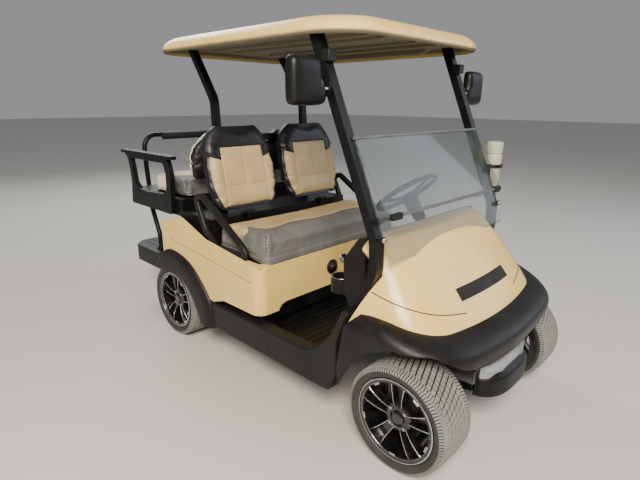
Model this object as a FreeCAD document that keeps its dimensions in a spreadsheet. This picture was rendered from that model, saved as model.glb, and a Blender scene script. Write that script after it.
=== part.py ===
import FreeCAD, Part
import math
import os
import re
import Sketcher

# Four-seat golf cart with a rear-facing back seat, in millimetres.
# Front towards -Y, left side of the cart towards +X, ground at z = 0.

# Driving dimensions: alias, millimetres or degrees, meaning
SIZES = (
    ("wheelbase", 1664, "front axle to rear axle"),
    ("front_axle", -1125, "y of the front axle"),
    ("axle_height", 227.5, "wheel centre above the ground"),
    ("tyre_radius", 227.5, "outside of the tyre"),
    ("tyre_width", 215, "tyre, side to side"),
    ("bead_radius", 158, "seat of the tyre on the rim"),
    ("lip_radius", 176, "outer edge of the rim"),
    ("wheel_centre", 482.5, "x of the middle of a wheel"),
    ("spoke_face", 24, "spokes behind the outer face of the tyre"),
    ("spoke_thick", 22, "spoke, front to back"),
    ("spoke_count", 5, "pairs of spokes"),
    ("rim_hub", 52, "radius of the hub of the rim"),
    ("drum_radius", 96, "brake drum"),
    ("kingpin_x", 395, "x of the steering pivot"),
    ("kingpin_radius", 11, "steering pivot pin"),
    ("pin_gap", 0.3, "running gap at a pin"),
    ("seat_gap", 0.3, "gap between a soft piece and its seat"),
    ("rail_x", 222, "middle of a frame rail"),
    ("rail_width", 54, "frame rail, side to side"),
    ("rail_height", 56, "frame rail, up and down"),
    ("rail_low", 236, "underside of the rails below the floor"),
    ("rail_high", 306, "underside of the rails over an axle"),
    ("front_leaf", 138, "half length of a front leaf spring"),
    ("rear_leaf", 290, "half length of a rear leaf spring"),
    ("rail_nose", 155, "rails in front of the front axle"),
    ("floor_top", 304, "floor that the feet stand on"),
    ("floor_thick", 8, "floor pan"),
    ("sill_out", 592, "outer face of the sills"),
    ("sill_width", 66, "sill, side to side"),
    ("sill_top", 354, "top of the sills"),
    ("sill_low", 200, "underside of the sills"),
    ("sill_rear", 93, "where the sills meet the rear fenders"),
    ("body_half", 578, "outer face of the rear body"),
    ("body_wall", 5, "moulded body wall"),
    ("body_corner", 58, "outer radius of the corners of the rear body"),
    ("body_front", -305, "front face below the seat"),
    ("body_rear", 675, "rear face of the body"),
    ("flare_step", 17, "thickness of the edge of the rear fender flares"),
    ("flare_reach", 28, "how far the rear fender flares stand out of the body"),
    ("deck_low", 650, "deck below the front cushion"),
    ("deck_high", 800, "deck behind the front cushion"),
    ("deck_step", 133, "y of the step in the deck"),
    ("deck_raised", 530, "half width of the deck behind the step"),
    ("cushion_front", -303, "front of the front cushion"),
    ("cushion_top", 790, "top of the front cushion"),
    ("cushion_side", 42, "sides of the front cushion inside the faces of the body"),
    ("roof_half", 570, "half width of the roof"),
    ("roof_front", -822, "front edge of the roof"),
    ("roof_rear", 618, "rear edge of the roof"),
    ("roof_corner", 215, "radius of the corners of the roof"),
    ("roof_rim", 1664, "lower edge of the roof"),
    ("roof_crown", 1755, "highest point of the roof"),
    ("roof_wall", 6, "roof shell"),
    ("roof_lining", 1696, "underside of the lining, on top of the posts"),
    ("nose_curve", 2400, "radius of the nose of the cowl, seen from above"),
    ("strut_x", 500, "middle of the front struts"),
    ("strut_wide", 44, "front strut, side to side"),
    ("strut_deep", 40, "front strut, front to back"),
    ("rear_strut_x", 340, "middle of the rear struts"),
    ("pane", 5, "windscreen sheet"),
    ("seat_base_front", 470, "front of the rear seat base"),
    ("seat_base_rear", 1078, "rear of the rear seat base"),
    ("seat_base_low", 758, "underside of the rear seat base"),
    ("seat_base_top", 862, "top of the rear seat base"),
    ("armrest_x", 545, "middle of the rear armrests"),
    ("armrest_top", 1112, "top of the rear armrests"),
    ("armrest_thick", 30, "side frame of a rear armrest"),
    ("rear_cushion_half", 480, "half width of the rear cushion"),
    ("rear_cushion_deep", 415, "rear cushion, front to back"),
    ("plate_half", 445, "half width of the foot plate"),
    ("plate_front", 955, "front of the foot plate"),
    ("plate_rear", 1365, "rear of the foot plate"),
    ("plate_top", 400, "top of the foot plate"),
    ("hoop_x", 375, "middle of the posts of the grab bar"),
    ("hoop_top", 1190, "middle of the top of the grab bar"),
    ("tube", 16, "outer radius of the rails and bars"),
    ("wheel_ring", 172, "steering wheel, to the middle of its rim"),
    ("wheel_grip", 13, "radius of the grip of the steering wheel"),
    ("wheel_x", 250, "x of the steering wheel"),
    ("wheel_y", -572, "y of the steering wheel"),
    ("wheel_z", 945, "height of the steering wheel"),
    ("column_slope", 52, "steering column against the floor, degrees"),
    ("column_slot", 78, "width of the slot for the column in the dashboard"),
    ("cup_bore", 84, "diameter of the cup holders"),
    ("cup_deep", 62, "depth of the cup holders"),
    ("cup_x", 410, "middle of the cup holders"),
    ("cup_reach", 162, "middle of the cup holders behind the front of the dashboard"),
)

doc = FreeCAD.newDocument("GolfCart")
sheet = doc.addObject("Spreadsheet::Sheet", "Sizes")
for row, (alias, amount, meaning) in enumerate(SIZES, start=1):
    sheet.set("A%d" % row, alias)
    sheet.set("B%d" % row, str(amount))
    sheet.set("C%d" % row, meaning)
    sheet.setAlias("B%d" % row, alias)
doc.recompute()

ALIASES = {alias for alias, amount, meaning in SIZES}
NODES = []
V = FreeCAD.Vector
X, Y, Z = V(1, 0, 0), V(0, 1, 0), V(0, 0, 1)


def size(alias):
    return float(sheet.get(alias))


def bound(text):
    """An expression of the sheet: each alias in it gets the name of the sheet."""
    def prefix(word):
        return "Sizes." + word.group(0) if word.group(0) in ALIASES else word.group(0)
    return re.sub(r"[a-z_]+", prefix, str(text))


def bind(thing, **sizes):
    for prop, text in sizes.items():
        thing.setExpression(prop, bound(text))
    return thing


def place(thing, x="0", y="0", z="0"):
    for axis, text in zip("xyz", (x, y, z)):
        thing.setExpression("Placement.Base." + axis, bound(text))
    return thing


def node(thing, label):
    """Marks a finished object as a sub-part that is written out."""
    thing.Label = label
    NODES.append(thing)
    return thing


def add(kind, name, **sizes):
    return bind(doc.addObject(kind, name), **sizes)


def solid(name, shape):
    """A shape made with Part's own functions from the sizes of the sheet."""
    thing = doc.addObject("Part::Feature", name)
    thing.Shape = shape
    return thing


def joined(name, things):
    thing = doc.addObject("Part::MultiFuse", name)
    thing.Shapes = things
    return thing


def cut(name, base, tool):
    thing = doc.addObject("Part::Cut", name)
    thing.Base = base
    thing.Tool = tool
    return thing


def together(name, things):
    """Like pieces that do not touch, kept in one node."""
    thing = doc.addObject("Part::Compound", name)
    thing.Links = things
    return thing


def mirrored(name, source):
    thing = doc.addObject("Part::Mirroring", name)
    thing.Source = source
    thing.Normal = X
    return thing


def pair(name, source):
    """A piece of the left side and its mirror image on the right."""
    return together(name, [source, mirrored(name + "_right", source)])


def sketch(body, plane, offset, outline):
    """A closed outline of straight lines: each row holds the two coordinates of a corner."""
    drawing = body.newObject("Sketcher::SketchObject", body.Name + "_outline")
    origin = [o for o in body.Origin.OriginFeatures if o.Role == plane + "_Plane"][0]
    drawing.AttachmentSupport = [(origin, "")]
    drawing.MapMode = "FlatFace"
    drawing.setExpression("AttachmentOffset.Base.z", bound(offset))
    count = len(outline)
    turn = 2 * math.pi / count
    spots = [V(100 * math.cos(turn * i), 100 * math.sin(turn * i), 0) for i in range(count)]
    for i in range(count):
        drawing.addGeometry(Part.LineSegment(spots[i], spots[(i + 1) % count]))
    for i in range(count):
        drawing.addConstraint(Sketcher.Constraint("Coincident", i, 2, (i + 1) % count, 1))
    for i, corner in enumerate(outline):
        for kind, amount, text in (("DistanceX", spots[i].x, corner[0]),
                                   ("DistanceY", spots[i].y, corner[1])):
            index = drawing.addConstraint(Sketcher.Constraint(kind, -1, 1, i, 1, amount))
            drawing.setExpression("Constraints[%d]" % index, bound(text))
    return drawing


def slab(name, plane, outline, start, thick):
    """An outline on an origin plane, padded from start along the plane's own normal."""
    body = doc.addObject("PartDesign::Body", name)
    drawing = sketch(body, plane, start, outline)
    pad = body.newObject("PartDesign::Pad", name + "_pad")
    pad.Profile = drawing
    bind(pad, Length=thick)
    doc.recompute()
    return body


def rounded(body, radius, chosen):
    """Rounds the edges of a body that the function chosen picks by their middle point."""
    tip = body.Tip
    names = []
    for number, edge in enumerate(tip.Shape.Edges, start=1):
        middle = edge.valueAt((edge.FirstParameter + edge.LastParameter) / 2)
        along = edge.tangentAt((edge.FirstParameter + edge.LastParameter) / 2)
        if chosen(middle, along):
            names.append("Edge%d" % number)
    fillet = body.newObject("PartDesign::Fillet", body.Name + "_fillet")
    fillet.Base = (tip, names)
    bind(fillet, Radius=radius)
    doc.recompute()
    return body


def box(name, x0, x1, y0, y1, z0, z1):
    """A block between two corners, each coordinate an expression of the sheet."""
    block = add("Part::Box", name, Length="(%s) - (%s)" % (x1, x0),
                Width="(%s) - (%s)" % (y1, y0), Height="(%s) - (%s)" % (z1, z0))
    return place(block, x0, y0, z0)


def rod(name, radius, length, axis, x, y, z):
    """A round bar from a point along X, Y or Z."""
    bar = add("Part::Cylinder", name, Radius=radius, Height=length)
    if axis == "X":
        bar.Placement = FreeCAD.Placement(V(), FreeCAD.Rotation(Y, 90))
    if axis == "Y":
        bar.Placement = FreeCAD.Placement(V(), FreeCAD.Rotation(X, -90))
    return place(bar, x, y, z)


def swept(face_at, points, radius):
    """Carries a section along straight runs and bends: plain extrusions and turns, joined."""
    pieces = []
    last = points[0]
    for before, corner, after in zip(points, points[1:], points[2:]):
        incoming = (corner - before).normalize()
        outgoing = (after - corner).normalize()
        turn = incoming.getAngle(outgoing)
        reach = radius * math.tan(turn / 2)
        start, stop = corner - incoming * reach, corner + outgoing * reach
        centre = corner + (outgoing - incoming).normalize() * (radius / math.cos(turn / 2))
        pieces.append(face_at(last, incoming).extrude(start - last))
        pieces.append(face_at(start, incoming).revolve(centre, incoming.cross(outgoing),
                                                       math.degrees(turn)))
        last = stop
    final = (points[-1] - points[-2]).normalize()
    pieces.append(face_at(last, final).extrude(points[-1] - last))
    return pieces[0].multiFuse(pieces[1:])


def pipe(points, radius, corner):
    """A round bar along straight runs and bends."""
    def disc(spot, along):
        return Part.Face(Part.Wire(Part.makeCircle(radius, spot, along)))
    return swept(disc, points, corner)


def closed(edges):
    return Part.Wire([edge for edge in edges])


def line(a, b):
    return Part.LineSegment(a, b).toShape()


def arc(a, b, c):
    return Part.Arc(a, b, c).toShape()


def polygon(points):
    return Part.Face(Part.makePolygon([*points, points[0]]))


def prism(points, along):
    block = polygon(points).extrude(along)
    if block.Volume < 0:
        block.reverse()
    return block


def soften(shape, radius, chosen):
    """Rounds the edges of a shape that the function chosen picks by middle and direction."""
    edges = []
    for edge in shape.Edges:
        half = (edge.FirstParameter + edge.LastParameter) / 2
        if chosen(edge.valueAt(half), edge.tangentAt(half)):
            edges.append(edge)
    return shape.makeFillet(radius, edges)


def ground(y):
    """Stations along the cart are measured from the front axle."""
    return size("front_axle") + y


# Tyre, half outline from the middle: across, out from the axle
TYRE = (
    ("88.7", "bead_radius + pin_gap"), ("88.7", "lip_radius + 0.4"),
    ("tyre_width / 2", "tyre_radius - 26"), ("tyre_width / 2 - 20", "tyre_radius"),
)
# Rim: across, out from the axle
BARREL = (
    ("-99", "bead_radius - 8"), ("-99", "bead_radius + 12"), ("-89", "bead_radius + 12"),
    ("-89", "bead_radius"), ("89", "bead_radius"), ("89", "lip_radius"), ("100", "lip_radius"),
    ("100", "lip_radius - 12"), ("92", "lip_radius - 14"), ("92", "bead_radius - 8"),
)
HUB = (
    ("30", "0"), ("30", "rim_hub"), ("tyre_width / 2 - spoke_face", "rim_hub"),
    ("tyre_width / 2 - spoke_face", "34"), ("tyre_width / 2 - 14", "30"),
    ("tyre_width / 2 - 14", "0"),
)
# One pair of spokes, pointing up: sideways, out from the axle
SPOKES = (
    ("-17", "rim_hub - 10"), ("-42", "bead_radius - 12"), ("-37", "bead_radius - 6"),
    ("-25", "bead_radius - 3"), ("-6", "90"), ("6", "90"), ("25", "bead_radius - 3"),
    ("37", "bead_radius - 6"), ("42", "bead_radius - 12"), ("17", "rim_hub - 10"),
)
# Wheels: corner, side of the cart, station of its axle
WHEELS = (
    ("front_left", 1, "front_axle"), ("front_right", -1, "front_axle"),
    ("rear_left", 1, "front_axle + wheelbase"), ("rear_right", -1, "front_axle + wheelbase"),
)


def spin(body, name, outline):
    """Turns an outline of the XY plane about the X axis."""
    drawing = sketch(body, "XY", "0", outline)
    turning = body.newObject("PartDesign::Revolution", name)
    turning.Profile = drawing
    turning.ReferenceAxis = (drawing, ["H_Axis"])
    turning.Angle = 360
    doc.recompute()
    return turning


def wheel_place(thing, side, station):
    """The outside of a wheel looks away from the cart."""
    if side < 0:
        thing.Placement = FreeCAD.Placement(V(), FreeCAD.Rotation(Z, 180))
    return place(thing, "%d * wheel_centre" % side, station, "axle_height")


def tyre(corner, side, station):
    left = [("-(%s)" % across, out) for across, out in TYRE]
    body = doc.addObject("PartDesign::Body", "tyre_" + corner)
    spin(body, body.Name + "_ring", left + list(reversed(TYRE)))
    wheel_place(body, side, station)
    return node(body, "tyre_" + corner)


def rim(corner, side, station):
    body = doc.addObject("PartDesign::Body", "rim_" + corner)
    spin(body, body.Name + "_barrel", BARREL)
    spokes = body.newObject("PartDesign::Pad", body.Name + "_spokes")
    spokes.Profile = sketch(body, "YZ", "tyre_width / 2 - spoke_face - spoke_thick", SPOKES)
    bind(spokes, Length="spoke_thick")
    doc.recompute()
    star = body.newObject("PartDesign::PolarPattern", body.Name + "_star")
    star.Originals = [spokes]
    axis = [o for o in body.Origin.OriginFeatures if o.Role == "X_Axis"][0]
    star.Axis = (axis, [""])
    star.Angle = 360
    bind(star, Occurrences="spoke_count")
    body.Tip = star
    doc.recompute()
    spin(body, body.Name + "_hub", HUB)
    wheel_place(body, side, station)
    return node(body, "rim_" + corner)


for corner, side, station in WHEELS:
    tyre(corner, side, station)
    rim(corner, side, station)


# Axles, knuckles and steering
hub_face = "wheel_centre + 30 - pin_gap"
rear_axle = "front_axle + wheelbase"


def front_axle():
    """Beam with an upright eye for each kingpin, and the guide that the tie rod slides in."""
    beam = box("axle_beam", "-(kingpin_x - 14)", "kingpin_x - 14", "front_axle - 19", "front_axle + 19",
               "axle_height - 22", "axle_height + 22")
    eye = rod("axle_eye", "kingpin_radius + 11", "70", "Z", "kingpin_x", "front_axle",
              "axle_height - 35")
    guide = rod("rack_guide", "18", "220", "X", "-110", "front_axle + 110", "axle_height - 30")
    bracket = box("rack_bracket", "-60", "60", "front_axle + 18", "front_axle + 104",
                  "axle_height - 22", "axle_height - 12")
    whole = joined("axle_beam_eyes", [beam, eye, mirrored("axle_eye_right", eye), guide, bracket])
    bore = rod("axle_bore", "kingpin_radius + pin_gap", "80", "Z", "kingpin_x", "front_axle",
               "axle_height - 40")
    slot = rod("rack_bore", "9 + pin_gap", "240", "X", "-120", "front_axle + 110", "axle_height - 30")
    drilled = cut("axle_drilled", whole, pair("axle_bores", bore))
    return node(cut("axle_whole", drilled, slot), "front_axle")


def knuckle():
    """Left yoke round the eye of the axle, with pin, brake drum and steering arm."""
    pieces = [
        rod("knuckle_pin", "kingpin_radius", "112", "Z", "kingpin_x", "front_axle",
            "axle_height - 56"),
        box("knuckle_ear_low", "kingpin_x - 22", "kingpin_x + 52", "front_axle - 22",
            "front_axle + 22", "axle_height - 56", "axle_height - 38"),
        box("knuckle_ear_high", "kingpin_x - 22", "kingpin_x + 52", "front_axle - 22",
            "front_axle + 22", "axle_height + 38", "axle_height + 56"),
        rod("knuckle_drum", "drum_radius", hub_face + " - kingpin_x - 45", "X",
            "kingpin_x + 45", "front_axle", "axle_height"),
        box("knuckle_arm", "kingpin_x - 22", "kingpin_x + 2", "front_axle", "front_axle + 122",
            "axle_height - 56", "axle_height - 44"),
    ]
    left = node(joined("knuckle_whole", pieces), "knuckle_left")
    node(mirrored("knuckle_mirrored", left), "knuckle_right")


def tie_rod():
    """Bar that links the steering arms, its ball ends just above them."""
    bar = rod("tie_bar", "9", "2 * kingpin_x - 40", "X", "20 - kingpin_x", "front_axle + 110",
              "axle_height - 30")
    ball = rod("tie_end", "13", "24", "Z", "kingpin_x - 20", "front_axle + 110", "axle_height - 39")
    return node(joined("tie_whole", [bar, ball, mirrored("tie_end_right", ball)]), "tie_rod")


def rear_axle_whole():
    """Axle tube with a drum at each end and the gear case in the middle."""
    tube = rod("rear_tube", "34", "2 * wheel_centre", "X", "-wheel_centre", rear_axle,
               "axle_height")
    drum = rod("rear_drum", "drum_radius", "72", "X", hub_face + " - 72", rear_axle, "axle_height")
    case = rod("gear_case", "104", "96", "X", "-30", rear_axle, "axle_height + 12")
    neck = box("gear_neck", "-30", "66", rear_axle, rear_axle + " + 190", "axle_height - 40",
               "axle_height + 76")
    whole = joined("rear_axle_parts", [tube, drum, mirrored("rear_drum_right", drum), case, neck])
    node(whole, "rear_axle")
    motor = rod("motor_body", "90", "160", "X", "-190 - pin_gap", rear_axle + " + 140",
                "axle_height + 18")
    return node(motor, "motor")


def leaf(name, station, seat, reach):
    """Leaf spring from hanger to hanger, clamped on the axle at height seat."""
    bow = slab(name, "YZ", (
        (station + " - " + reach, seat + " + 22"), (station + " - " + reach, seat + " + 32"),
        (station + " - 70", seat + " + 18"), (station + " + 70", seat + " + 18"),
        (station + " + " + reach, seat + " + 32"), (station + " + " + reach, seat + " + 22"),
        (station + " + 70", seat), (station + " - 70", seat)), "rail_x - 22", "44")
    hangers = [box("%s_hanger_%d" % (name, number), "rail_x - 26", "rail_x + 26",
                   spot + " - 12", spot + " + 12", seat + " + 24", "rail_high")
               for number, spot in enumerate((station + " - " + reach, station + " + " + reach))]
    return joined(name + "_whole", [bow, *hangers])


def springs():
    front = leaf("leaf_front", "front_axle", "axle_height + 22", "front_leaf")
    back = leaf("leaf_rear", rear_axle, "axle_height + 34", "rear_leaf")
    both = together("springs_left", [front, back])
    return node(pair("springs_both", both), "springs")


def frame():
    """Two rails, low under the floor and raised over both axles, with cross members."""
    low, high = "rail_low", "rail_high"
    rail = slab("rail", "YZ", (
        ("front_axle - rail_nose", high), ("front_axle + 330", high), ("front_axle + 400", low),
        (rear_axle + " - 400", low), (rear_axle + " - 330", high), ("plate_rear - 40", high),
        ("plate_rear - 40", high + " + rail_height"), (rear_axle + " - 346", high + " + rail_height"),
        (rear_axle + " - 416", low + " + rail_height"), ("front_axle + 416", low + " + rail_height"),
        ("front_axle + 346", high + " + rail_height"), ("front_axle - rail_nose", high + " + rail_height")),
        "rail_x - rail_width / 2", "rail_width")
    members = [box("cross_%d" % number, "-rail_x", "rail_x", station + " - 22", station + " + 22",
                   low_edge + " + 8", low_edge + " + rail_height - 4")
               for number, (station, low_edge) in enumerate((
                   ("front_axle - rail_nose + 24", high), ("front_axle + 300", high), ("-150", low),
                   (rear_axle + " - 300", high), (rear_axle + " + 330", high)))]
    outriggers = [box("outrigger_%d" % number, "-(sill_out - sill_width)", "sill_out - sill_width",
                      station + " - 16", station + " + 16", low + " + 12", low + " + rail_height - 6")
                  for number, station in enumerate(("-600", "-250", "50"))]
    return node(joined("frame_whole", [rail, mirrored("rail_right", rail), *members, *outriggers]),
                "frame")


front_axle()
knuckle()
tie_rod()
rear_axle_whole()
springs()
frame()


# Floor, sills and the rear body
def floor_pan():
    """Floor with ribs, turned up into the toe board, and the recessed panel below the seat."""
    under = "floor_top - floor_thick"
    pan = slab("pan", "YZ", (
        ("body_front + 36", under), ("body_front + 36", "floor_top"), ("front_axle + 470", "floor_top"),
        ("front_axle + 352", "floor_top + 190"), ("front_axle + 352", "floor_top + 178"),
        ("front_axle + 466", under)), "-(sill_out - sill_width)", "2 * (sill_out - sill_width)")
    ribs = [box("floor_rib_%d" % number, "-480", "480", "%d" % station, "%d" % (station + 14),
                "floor_top", "floor_top + 4")
            for number, station in enumerate(range(-600, -320, 40))]
    kick = box("kick_board", "-(sill_out - sill_width)", "sill_out - sill_width",
               "body_front + 36", "body_front + 44", "floor_top - floor_thick", "deck_low - 8")
    return node(joined("floor_whole", [pan, kick, *ribs]), "floor_pan")


def sills():
    """Moulded side sill: straight along the floor, swept up in front to the foot of the strut."""
    side = slab("sill", "YZ", (
        ("front_axle + 345", "sill_low + 6"), ("front_axle + 440", "sill_low"),
        ("sill_rear", "sill_low"), ("sill_rear", "sill_top - 4"), ("front_axle + 500", "sill_top"),
        ("front_axle + 425", "sill_top + 30"), ("front_axle + 345", "sill_top + 110"),
        ("front_axle + 268", "sill_top + 262"), ("front_axle + 240", "sill_top + 250"),
        ("front_axle + 300", "sill_top + 100"), ("front_axle + 300", "sill_top - 60")),
        "sill_out - sill_width", "sill_width")
    rounded(side, "12", lambda middle, along: abs(middle.x - size("sill_out")) < 1)
    return node(pair("sills_both", side), "sills")


def arch(name, station, radius, reach):
    """Round opening above a wheel, cut through both sides."""
    return rod(name, radius, "2 * (%s)" % reach, "X", "-(%s)" % reach, station, "axle_height")


BODY_SIDE = (
    ("body_front", "sill_top + 32"), ("body_front", "deck_low - 4"), ("-25", "680"), ("145", "700"),
    ("275", "745"), ("375", "780"), ("515", "752"), ("body_rear - 60", "730"), ("body_rear", "690"),
    ("body_rear", "rail_high + rail_height + 20"), ("98", "sill_top - 4"), ("0", "sill_top + 30"),
)


def rear_body():
    """Body below the seats: four moulded walls with round corners and open wheel arches."""
    outside = slab("body_outside", "YZ", BODY_SIDE, "-body_half", "2 * body_half")
    rounded(outside, "body_corner", lambda middle, along: abs(along.z) > 0.99
            and abs(middle.x) > size("body_half") - 1)
    core = box("body_core", "-(body_half - body_wall)", "body_half - body_wall",
               "body_front + body_wall", "body_rear - body_wall", "100", "1000")
    core_round = add("Part::Fillet", "body_core_round")
    core_round.Base = core
    doc.recompute()
    inner = size("body_corner") - size("body_wall")
    core_round.Edges = [(number, inner, inner) for number, edge in enumerate(core.Shape.Edges, 1)
                        if abs(edge.tangentAt(0).z) > 0.99]
    wells = arch("body_arches", rear_axle, "252", "body_half + 10")
    tools = joined("body_tools", [core_round, wells])
    return node(cut("body_whole", outside, tools), "rear_body")


floor_pan()
sills()


def flares():
    """Wide band round the front and top of each rear wheel, standing out from the body."""
    # y and height of the band: outer edge from front to rear, then the lip above the wheel
    band = (
        ("sill_rear", "sill_low - 12"), ("98", "232"), ("135", "354"), ("198", "426"), ("293", "503"),
        ("398", "545"), ("520", "560"), ("600", "540"), ("652", "498"), ("body_rear + 12", "440"),
        ("body_rear + 4", "404"), ("640", "404"), ("560", "416"), ("462", "415"), ("353", "382"),
        ("277", "298"), ("236", "232"), ("215", "sill_low - 12"),
    )
    skin = slab("flare", "YZ", band, "body_half + flare_step", "flare_reach - flare_step")
    rim_line = (
        ("sill_rear", "sill_low - 12"), ("98", "232"), ("135", "354"), ("198", "426"), ("293", "503"),
        ("398", "545"), ("520", "560"), ("600", "540"), ("652", "498"), ("body_rear + 12", "440"),
        ("body_rear + 2", "437"), ("644", "491"), ("595", "531"), ("519", "551"), ("401", "536"),
        ("299", "495"), ("206", "420"), ("144", "350"), ("108", "230"), ("103", "sill_low - 12"),
    )
    edge = slab("flare_edge", "YZ", rim_line, "body_half", "flare_step + 0.5")
    return node(pair("flares_both", joined("flare_whole", [skin, edge])), "rear_fenders")


def deck(body):
    """Cover over the body: low under the front cushion, narrower and raised behind it."""
    half, raised = "body_half - body_wall", "deck_raised"
    floor = box("deck_floor", "-(%s)" % half, half, "body_front + body_wall", "seat_base_front - 1",
                "deck_low - 8", "deck_low")
    step_line = (
        ("deck_step", "deck_low - 4"), ("deck_step", "deck_high"), ("seat_base_front - 1", "deck_high"),
        ("seat_base_front - 1", "deck_high - 8"), ("deck_step + 8", "deck_high - 8"),
        ("deck_step + 8", "deck_low - 4"),
    )
    cover = slab("deck_sheet", "YZ", step_line, "-" + raised, "2 * " + raised)
    skirt = box("deck_skirt", raised + " - 8", raised, "deck_step + 4", "seat_base_front - 1",
                "deck_low - 4", "deck_high")
    pins = []
    back, pin_z = size("deck_step") - 22, size("deck_high") + 10
    for x in (-300, 300):
        pin = Part.makeCylinder(5, 64, V(x - 32, back + 8, pin_z), X)
        lugs = [prism([V(side, back - 1, pin_z + 9), V(side, back - 1, pin_z - 9),
                       V(side, size("deck_step") + 3, size("deck_high")),
                       V(side, size("deck_step") + 30, size("deck_high")),
                       V(side, back + 12, pin_z + 9)], V(5, 0, 0)) for side in (x - 30, x + 25)]
        pins.append(solid("hinge_pin", pin.fuse(lugs)))
    whole = joined("deck_all", [floor, cover, skirt, mirrored("deck_skirt_right", skirt), *pins])
    whole = cut("deck_trimmed", whole, body)
    return node(whole, "seat_deck")


def battery():
    """Battery pack: one plain block in its tray between the rails and the seat."""
    return node(box("battery_block", "-330", "330", "body_front + 70", "body_front + 415",
                    "rail_low + rail_height + 0.3", "deck_low - 60"), "battery_pack")


# Cowl, one row per height: height, station of the nose behind the front axle, station and half
# width where a side is measured, half width at the rear, radius of the corner
COWL = (
    (520, -150, 20, 542, 586, 220),
    (600, -96, 60, 526, 578, 210),
    (700, -12, 106, 492, 556, 180),
    (800, 76, 156, 446, 512, 140),
    (862, 132, 188, 402, 462, 110),
    (893, 168, 208, 352, 410, 95),
)
COWL_REAR = 268


def plan_section(heights, row, inset, rear):
    """Outline seen from above: straight sides, round corners and a flat arc as nose, all tangent.

    The heights are those of the tip of the nose, of the start of a side and of its rear end;
    without the middle one, the outline lies in one plane.
    """
    nose, side, side_wide, rear_wide, corner = row
    curve = size("nose_curve")
    start, beside = V(rear_wide, ground(COWL_REAR), 0), V(side_wide, ground(side), 0)
    way = (beside - start).normalize()
    inward = V(way.y, -way.x, 0)
    hub = V(0, ground(nose) + curve, 0)
    reach = start + inward * corner - hub
    along = -reach.dot(way) + math.sqrt(reach.dot(way) ** 2 - reach.dot(reach) + (curve - corner) ** 2)
    pivot = hub + reach + way * along
    outward = (pivot - hub).normalize()
    tip = V(0, ground(nose) + inset, 0)
    touch = hub + outward * (curve - inset)
    bend = pivot + (outward - inward).normalize() * (corner - inset)
    side_end = pivot - inward * (corner - inset)
    edge = start + inward * inset
    tail = edge + way * ((ground(rear) - edge.y) / way.y)

    low, middle, high = heights
    share = (side_end.y - tip.y) / (tail.y - tip.y)
    if middle is None:
        middle = low + (high - low) * share

    def raised(spot):
        if spot.y > side_end.y:
            climb = (spot.y - side_end.y) / (tail.y - side_end.y)
            return V(spot.x, spot.y, middle + (high - middle) * climb)
        return V(spot.x, spot.y, low + (middle - low) * (spot.y - tip.y) / (side_end.y - tip.y))

    left = [raised(spot) for spot in (tail, side_end, bend, touch, tip)]
    right = [V(-spot.x, spot.y, spot.z) for spot in left]
    return closed([line(right[0], right[1]), arc(right[1], right[2], right[3]),
                   arc(right[3], left[4], left[3]), arc(left[3], left[2], left[1]),
                   line(left[1], left[0]), line(left[0], right[0])])


def cowl_solid(inset, rear, drop):
    sections = [plan_section((height - drop,) * 3, row, inset, rear) for height, *row in COWL]
    return Part.makeLoft(sections, True, False)


# Front strut: station behind the front axle, height, from the roof down to the sill
STRUT = ((537, 1740), (178, 905), (176, 780), (345, 400))


def strut_zone(reach):
    """Room that the cowl leaves for the struts, behind the line of their front."""
    top, knee, low, foot = STRUT
    line_points = [V(0, ground(station - reach), height) for station, height in (top, knee, low, foot)]
    behind = [V(0, ground(700), foot[1]), V(0, ground(700), top[1])]
    side = prism(line_points + behind, V(400, 0, 0))
    inner = size("strut_x") - size("strut_wide") / 2 - 4
    left = side.translated(V(inner, 0, 0))
    right = side.translated(V(-inner - 400, 0, 0))
    return left.fuse(right)


def cowl_outer():
    body = cowl_solid(0, COWL_REAR, 0)
    return soften(body, 16, lambda middle, along: middle.z > COWL[-1][0] - 0.5
                  and middle.y < ground(COWL_REAR) - 2)


def cowl():
    wall = size("body_wall")
    inside = cowl_solid(wall, COWL_REAR + 40, wall)
    lower = Part.makeBox(1300, 700, 60, V(-650, ground(-300), COWL[0][0] - 60 + 12))
    shell = cowl_outer().cut(inside).cut(strut_zone(26)).cut(lower)
    return node(solid("cowl_shell", shell), "front_cowl")


# Front fender, one row per level: heights at the nose, at the start of the side and at the
# rear, then the same columns as the cowl. The last row lies inside the cowl.
FENDER = (
    (262, 262, 262, -168, 30, 586, 590, 270),
    (345, 345, 345, -182, 20, 592, 596, 250),
    (420, 420, 420, -222, 10, 598, 602, 260),
    (478, 500, 500, -238, 6, 604, 605, 270),
    (516, 572, 572, -216, 10, 600, 603, 265),
    (538, 600, 602, -172, 30, 568, 590, 250),
    (553, None, 662, -112, 60, 506, 554, 205),
)
FENDER_TOP = 612
# Lower edge of the fender from the front: half width, height
FENDER_FRONT = ((0, 383), (220, 415), (340, 440), (430, 470), (480, 500), (530, 529), (700, 533))
# and from the side: station behind the front axle, height
FENDER_SIDE = ((-10, 533), (24, 533), (93, 500), (161, 455), (208, 405), (242, 345), (284, 271))
# Rear edge, along the foot of the strut
FENDER_REAR = ((176, 640), (181, 625), (246, 560), (290, 345), (290, 240))


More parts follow.
